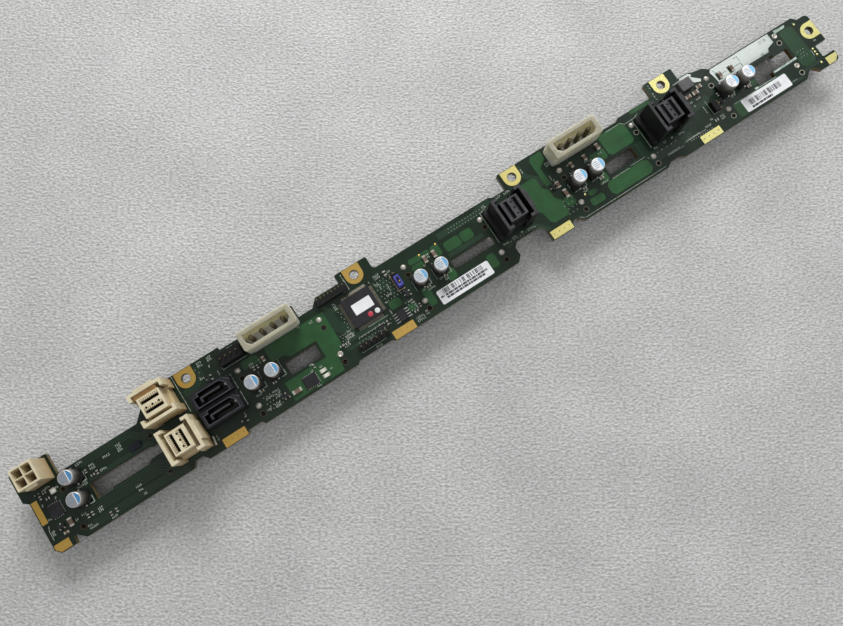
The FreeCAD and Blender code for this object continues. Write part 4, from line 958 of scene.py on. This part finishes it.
# %% [markdown]
# The small transistors have three feet: two on one long side and one on the other. Each foot is a
# shelf at the body's shoulder, a slope, and a toe on the solder, carried along a path. The flat
# chips have rows of short leads on three sides instead.

# %% Feet of the small chips
FOOT_STEP, FOOT_REACH, FOOT_WIDTH, FOOT_THICK, TOE_LEVEL = 0.95, 0.75, 0.5, 0.15, 0.16


def foot_strip(root, way, shoulder, along):
    """One bent foot: a path out from the body, down, and out again, thickened downwards."""
    root, reach = way * root, way * FOOT_REACH
    path = np.array([(root, shoulder), (root + reach * 0.3, shoulder),
                     (root + reach * 0.55, TOE_LEVEL), (root + reach, TOE_LEVEL)])
    skin = np.vstack([path, path[::-1] - (0, FOOT_THICK)])
    return bridge(*(np.insert(skin, along, side * FOOT_WIDTH / 2, axis=1) for side in (-1, 1)))


def moved(shape, spot):
    """A shape pushed to a place on the board."""
    points, faces = shape
    return points + np.array([*spot, 0.0]), faces


feet = []
for x_low, y_low, _, x_high, y_high, z_high in solids("transistors"):
    half_x, half_y = (x_high - x_low) / 2, (y_high - y_low) / 2
    middle = np.array([x_low + x_high, y_low + y_high]) / 2
    lying = half_x > half_y
    half, side = (half_y, -1) if lying else (half_x, 1)
    for step, way in ((-FOOT_STEP, side), (FOOT_STEP, side), (0, -side)):
        foot = foot_strip(half, way, z_high * 0.5, 0 if lying else 1)
        shift = np.array((step, 0) if lying else (0, step))
        feet.append(moved(foot, middle + shift))
piece("transistor_feet", join(feet), solder)
LEAD_PITCH, LEAD_WIDTH, LEAD_REACH, LEAD_TOP, LEAD_ROOT = 0.95, 0.4, 0.35, 0.14, 0.05
flat_leads = []
for node in ("regulator_chip", "power_switch_chip"):
    low, high = local_box(node)
    for x in np.arange(low[0] + 0.5, high[0] - 0.3, LEAD_PITCH):
        for y_from, y_to in ((low[1] - LEAD_REACH, low[1] + LEAD_ROOT),
                             (high[1] - LEAD_ROOT, high[1] + LEAD_REACH)):
            flat_leads.append((x, x + LEAD_WIDTH, y_from, y_to, 0, LEAD_TOP))
    for y in np.arange(low[1] + 0.5, high[1] - 0.3, LEAD_PITCH):
        flat_leads.append((high[0] - LEAD_ROOT, high[0] + LEAD_REACH, y, y + LEAD_WIDTH,
                           0, LEAD_TOP))
piece("flat_chip_leads", boxes(flat_leads), solder)

# %% [markdown]
# The controller carries a paper sticker, left blank here, with one red and one white paint dot
# beside it. The paper labels carry generic bars of uneven width: the widths come from a sine whose
# steps never repeat.

# %% Stickers and labels
chip_low, chip_high = local_box("controller_chip")
chip_x, chip_y = (chip_low[:2] + chip_high[:2]) / 2
chip_top = chip_high[2]
piece("controller_sticker",
      prism(field(chip_x - 4.0, chip_x + 5.2, chip_y - 2.1, chip_y + 2.9, 0.2),
            chip_top, chip_top + 0.06), paper)


def paint_dot(radius, x, y, sides):
    """A low drop of paint on the chip's top."""
    profile = [(0, 0), (radius, 0), (radius - 0.05, 0.05), (0.8, 0.09), (0, 0.1)]
    return lathe([(out, chip_top + up) for out, up in profile],
                 [(chip_x + x, chip_y + y, 0)], sides)


red_dot = mottled("red paint", (188, 52, 66), 0.4, 0.8, (168, 44, 58), (204, 66, 78))
piece("red_paint_dot", paint_dot(1.2, 1.5, -4.7, 24), red_dot, smooth=True)
piece("white_paint_dot", paint_dot(1.25, 4.9, -4.9, 7), plain_print)
bar_finish = mottled("label ink", (52, 54, 60), 0.6, 0.4, (48, 50, 56), (84, 86, 92))
BAR_THICK, WORD_GAP = 0.02, 0.22


def bars(left, right, low, high, level, pitch=0.62):
    """Upright bars of uneven width: bar k is as wide as a sine of k squared says."""
    steps = np.arange(int((right - left) / pitch))
    widths = pitch * (0.45 + 0.35 * np.sin(steps ** 2 * 1.7))
    starts = left + steps * pitch
    return [(start, start + width, low, high, level, level + BAR_THICK)
            for start, width in zip(starts, widths)]


def word_bars(left, right, low, high, level):
    """A line of lettering kept as plain blocks: blocks of uneven length with gaps."""
    rows, start, number = [], left, 0
    while start < right:
        length = 1.3 + 0.8 * math.sin(number * 2.3)
        rows.append((start, min(start + length, right), low, high, level, level + BAR_THICK))
        start += length + WORD_GAP
        number += 1
    return rows


label_boxes = solids("paper_labels")
label_boxes = label_boxes[np.argsort(label_boxes[:, 0])]
level = label_boxes[0, 5]
label_rows = []
# Each row: which label, what it draws, and its x and y limits from the label's lower left corner.
for number, draw, left, right, low, high, *pitch in (
        (0, bars, 3.0, 24.6, 4.1, 6.3), (0, word_bars, 3.2, 24.8, 2.8, 3.8),
        (0, word_bars, 3.2, 23.0, 1.5, 2.5), (0, word_bars, 0.7, 2.5, 3.0, 3.8),
        (1, bars, 3.2, 22.4, 2.4, 5.2, 0.55), (1, word_bars, 3.3, 15.0, 0.7, 1.8)):
    x, y = label_boxes[number, :2]
    label_rows += draw(x + left, x + right, y + low, y + high, level, *pitch)
piece("label_bars", boxes(label_rows), bar_finish)

# %% [markdown]
# The twin slot cable connectors have small details round their slots, made once in the connector's
# own axes, then turned and moved to each of the four places. The cream ones have a comb on the
# latch side of each slot, its gaps painted tan as painted shade. The black ones have two slots
# between grey bands, each covered by a black sheet as painted shade of its depth, with a row of
# fine teeth on one edge of each slot. Three dots between the slots of every one are painted dark as
# painted shade of small wells.

# %% Combs of the cable connectors
comb_grey = moulding("grey comb", (54, 54, 57), (80, 80, 84), specular=0.3)
# Painted shade: the tan gaps, the black slot sheets and the dark dots stand in for shade in
# hollows.
slot_shade_sheet = moulding("unlit slot", (4, 4, 5), (9, 9, 11), 0.8, specular=0.05)
comb_gap_shade = moulding("comb gap painted shade", (126, 108, 74), (158, 140, 104), 0.6)
well_shade_dot = moulding("shaded well", (14, 12, 10), (26, 22, 18), 0.7, specular=0.1)
TOWER_DROP, SLOT_PITCH, SLOT_MIDDLE, RIB_PITCH = 0.8, 4.2, -0.15, 0.85
SLOT_HALF_LENGTH, SLOT_HALF_WIDTH, BAND_END, BAND_EDGE, BAND_TOP = 4.25, 0.95, 4.9, 4.35, 0.05
# The dark connectors' windows between the grey bands, as y from and to.
WINDOWS = ((-3.2, -1.3), (1.0, 2.9))
LINKS = [("pale_link_1", False, (-33.5, 4.8)), ("pale_link_2", True, (-31.5, -14.2)),
         ("dark_link_1", True, (136.6, -6.0)), ("dark_link_2", True, (220.6, -6.0))]


def turned(shape, quarter):
    """A shape turned about Z by minus a quarter turn, or left alone."""
    points, faces = shape
    if quarter:
        points = np.stack([points[:, 1], -points[:, 0], points[:, 2]], 1)
    return points, faces


for name, quarter, spot in LINKS:
    top = local_box(name)[1][2] - TOWER_DROP
    pale = name.startswith("pale")
    comb_side = -1 if quarter else 1
    gaps = []
    for way in (-1, 1):
        edge = SLOT_MIDDLE + way * SLOT_PITCH / 2
        near, far = sorted((edge + comb_side * 0.6, edge + comb_side * 1.75))
        if pale:
            gaps += [(x - 0.22, x + 0.22, near, far, top - 0.1, top + 0.025)
                     for x in np.arange(-3.8, 4.0, RIB_PITCH)]
        else:
            gaps.append((-SLOT_HALF_LENGTH, SLOT_HALF_LENGTH, edge - SLOT_HALF_WIDTH,
                         edge + SLOT_HALF_WIDTH, top - 0.1, top + 0.01))
    dots = studs([(x, SLOT_MIDDLE - comb_side * 0.35) for x in (-2.9, 0.0, 2.9)],
                 0.95, top - 0.02, top + 0.075, 10)
    details = [("comb", boxes(gaps), comb_gap_shade if pale else slot_shade_sheet), ("dots", dots, well_shade_dot)]
    if not pale:
        marks = (SLOT_MIDDLE - BAND_EDGE, *WINDOWS[0], *WINDOWS[1], SLOT_MIDDLE + BAND_EDGE)
        bands = [(-BAND_END, BAND_END, marks[k], marks[k + 1], top, top + BAND_TOP)
                 for k in (0, 2, 4)]
        bands += [(x - 0.33, x + 0.33, *window, top, top + BAND_TOP)
                  for x in (-4.58, 4.58) for window in WINDOWS]
        bands += [(x - 0.16, x + 0.16, edge, edge + 0.5, top, top + 0.045)
                  for edge, _ in WINDOWS for x in np.arange(-3.4, 4.0, RIB_PITCH)]
        details.append(("ridges", boxes(bands), comb_grey))
    for detail, shape, finish in details:
        piece(f"{name}_{detail}", moved(turned(shape, quarter), spot), finish)

# %% [markdown]
# The latch side of each cream cable connector has a deep moat with a ribbed spring plate in it,
# painted amber in the first and a darker brown in the second: painted shade of the deep moat, the
# brown one a shaded copy. The serial socket has a raised line round each of its two openings and
# on each tongue, painted grey as a painted highlight on its edges, and two pale keys at its right
# end.

# %% Latch plates and socket keys
# Painted shade of the moat: the amber plate and its darker brown shaded copy.
amber = moulding("amber latch plate", (160, 122, 70), (196, 156, 100), 0.45)
brown = moulding("shaded latch plate", (92, 76, 50), (122, 102, 70), 0.5)
# Each plate: its finish, how far it reaches to the right, and the level of its top.
PLATES = ((amber, 4.4, 12.9), (brown, 5.4, 11.9))
PLATE_LEFT, PLATE_LOW, PLATE_BACK, PLATE_CUT = -5.9, 4.28, 6.22, 0.5
for (name, quarter, spot), (finish, reach, rise) in zip(LINKS, PLATES):
    outline = field(PLATE_LEFT, reach, PLATE_LOW, PLATE_BACK, PLATE_CUT)
    ribs = boxes([(x, x + 0.3, 4.55, 5.95, rise - 0.05, rise + 0.08)
                  for x in np.arange(-5.2, reach - 0.6, RIB_PITCH)])
    plate = join([prism(outline, rise - 1.2, rise), ribs])
    piece(f"{name}_latch_plate", moved(turned(plate, quarter), spot), finish)
socket_low, socket_high = local_box("serial_socket")
socket_x, socket_y = (socket_low[:2] + socket_high[:2]) / 2
socket_top = socket_high[2]
SOCKET_HALF, SOCKET_PITCH = 8.8, 8.4
left, right = -SOCKET_HALF, SOCKET_HALF
rims = []
for way in (-1, 1):
    y = way * SOCKET_PITCH / 2
    shell = [(left + 1.3, y - 2.9), (right - 1.5, y - 2.9), (right - 1.5, y + 0.7),
             (right - 3.7, y + 2.9), (left + 3.4, y + 2.9), (left + 3.4, y + 1.6),
             (left + 1.3, y + 1.6), (left + 1.3, y - 2.9)]
    tongue = [(left + 3.9, y - 1.4), (left + 3.9, y + 0.5), (right - 4.8, y + 0.5)]
    rims += [prism(ribbon(shell, 0.3), socket_top - 0.1, socket_top + 0.03),
             prism(ribbon(tongue, 0.4), socket_top - 0.75, socket_top - 0.62)]
# The raised rim lines are painted grey: a painted highlight where the edges catch the light.
socket_rim_highlight = moulding("socket rim painted highlight", (46, 46, 54), (74, 74, 84), 0.45)
piece("socket_rims", moved(join(rims), (socket_x, socket_y)), socket_rim_highlight)
key_spots = [(socket_high[0] - 2.2, socket_y + way * 4.2 + 0.5, 0) for way in (-1, 1)]
key_profile = [(0, 2.2), (0.62, 2.2), (0.62, 6.6), (0.4, 6.9), (0, 7.0)]
piece("socket_keys", lathe(key_profile, key_spots, 16), ivory, smooth=True)

# %% [markdown]
# The blue jumper cap has a dark window in its top with the end of a pin in it. They are added on
# top of the cap, since the cap's own sockets are open only from below. A warm white line is printed
# beside it, and a soldered tab stands by the cream connectors.

# %% Jumper details and the solder tab
cap_low, cap_high = local_box("jumper_cap")
cap_x, cap_y = (cap_low[:2] + cap_high[:2]) / 2
cap_top = cap_high[2]
window = field(cap_x - 0.5, cap_x + 0.55, cap_y - 1.3, cap_y + 1.5, 0.25)
piece("jumper_window", prism(window, cap_top - 0.35, cap_top - 0.24), header_plastic)
pin_profile = [(0, -0.4), (0.36, -0.4), (0.36, -0.16), (0.2, -0.04), (0, -0.02)]
piece("jumper_pin", lathe([(out, cap_top + up) for out, up in pin_profile],
                          [(cap_x + 0.25, cap_y - 0.5, 0)], 12),
      spring, smooth=True)
outline_finish = mottled("warm print", (206, 176, 136), 0.55, 0.8,
                         (184, 150, 112), (216, 196, 160))
piece("jumper_outline", printed([(76.8, 0.1, 76.8, -7.9, 79.9, -7.9)], 0.3),
      outline_finish)
piece("shield_tab", prism((-23.4, -22, -22.7, -22.2, -22.2, -18.4, -22.9, -18.2), 0.0, 0.5),
      solder)

# %% [markdown]
# Moulded edges are never quite sharp. The carried-over housings are loose triangles, so a Weld
# modifier joins them first and a Bevel modifier then rounds every edge sharper than 40 degrees.

# %% Soft edges on the housings
def soften(name, width):
    """Joins a housing's triangles and rounds its sharp edges by a width in millimetres."""
    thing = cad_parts[name]
    weld = thing.modifiers.new("join", "WELD")
    weld.merge_threshold = 0.002 * MM
    bevel = thing.modifiers.new("round", "BEVEL")
    bevel.width = width * MM
    bevel.segments = 2
    bevel.limit_method = "ANGLE"
    bevel.angle_limit = math.radians(40)
    bevel.harden_normals = False


SOFT_EDGES = {
    "power_header": 0.2, "disk_power_header_1": 0.35, "disk_power_header_2": 0.35,
    "pale_link_1": 0.2, "pale_link_2": 0.2, "dark_link_1": 0.18, "dark_link_2": 0.18,
    "serial_socket": 0.15, "service_header": 0.15, "edge_header": 0.12, "jumper_cap": 0.15,
    "power_inductor": 0.25,
}
for name, width in SOFT_EDGES.items():
    soften(name, width)
print("softened:", len(SOFT_EDGES))

# %% [markdown]
# The board lies on a pale foam sheet. Its fine grain is a little longer one way than the other, and
# one noise gives the grain its tone, its gloss and its relief.

# %% The floor
floor_finish = Finish("pale foam sheet", (192, 193, 193), 0.5)
grain = floor_finish.noise(1.0, 3, (1.4, 1, 1), turn=-33)
tone = floor_finish.ramp(grain, (0.3, (170, 170, 168)), (0.7, (222, 223, 222)))
floor_finish.paint(floor_finish.multiply(tone, floor_finish.mottle(45, grey(236), WHITE, 2)))
floor_finish.gloss(grain, 0.62, 0.38)
floor_finish.relief(grain, 0.6)
REACH = 3
floor_mesh = bpy.data.meshes.new("floor")
floor_mesh.from_pydata([(-REACH, -REACH, 0), (REACH, -REACH, 0), (REACH, REACH, 0),
                        (-REACH, REACH, 0)], [], [(0, 1, 2, 3)])
floor_mesh.materials.append(floor_finish.material)
floor = bpy.data.objects.new("floor", floor_mesh)
bpy.context.scene.collection.objects.link(floor)
print("floor:", floor.name, "side (m):", 2 * REACH)

# %% [markdown]
# Three lamps light the bench. The key is a large one far behind the board, to the right, and gives
# most of the light. The ceiling is a long soft strip overhead. The window is a small dim one that
# hangs far to the right and faces down: its mirror image falls on the polished copper and gives the
# pale glare there. The world adds an even fill.

# %% The lamps and the world
def softbox(name, place, aim, width, height, watts):
    """A rectangular lamp at a place in metres, turned to face a point."""
    data = bpy.data.lights.new(name, "AREA")
    data.shape = "RECTANGLE"
    data.size, data.size_y, data.energy = width, height, watts
    lamp = bpy.data.objects.new(name, data)
    lamp.location = place
    direction = mathutils.Vector(aim) - mathutils.Vector(place)
    lamp.rotation_euler = direction.to_track_quat("-Z", "Y").to_euler()
    bpy.context.scene.collection.objects.link(lamp)


# Each row: name, place, aim, width, height, watts. A lamp that faces down aims a hair to one side,
# so that its turn about Z is settled.
softbox("window", (0.837, 0.236, 0.95), (0.837, 0.2359, 0.0), 0.212, 0.128, 0.42)
softbox("key", (0.6, 1.15, 0.9), (0.0, 0.0, 0.01), 0.8, 0.6, 22.0)
softbox("ceiling", (0.0, -0.28, 1.3), (0.0, -0.2799, 0.0), 1.5, 0.3, 2.4)

world = bpy.data.worlds.new("room")
world.use_nodes = True
bpy.context.scene.world = world
background = world.node_tree.nodes["Background"].inputs
background["Color"].default_value = srgb(WHITE)
background["Strength"].default_value = 0.38
bpy.context.scene.view_settings.view_transform = "Standard"

# %% [markdown]
# The camera hangs over the left half of the board, a little in front of it. It leans slightly
# towards the back and the right, and is turned about its own axis, so the board runs across the
# picture at a slant.

# %% The camera
camera_data = bpy.data.cameras.new("bench camera")
camera_data.lens = 30.58
camera_data.sensor_width = 36.0
camera_data.clip_start = 0.01
camera_data.clip_end = 20.0
camera = bpy.data.objects.new("bench camera", camera_data)
camera.location = (-0.06141, -0.05490, 0.31954)
camera.rotation_euler = [math.radians(angle) for angle in (9.7093, -1.5444, -32.9062)]
bpy.context.scene.collection.objects.link(camera)
bpy.context.scene.camera = camera
print("camera lens (mm):", round(camera_data.lens, 2))
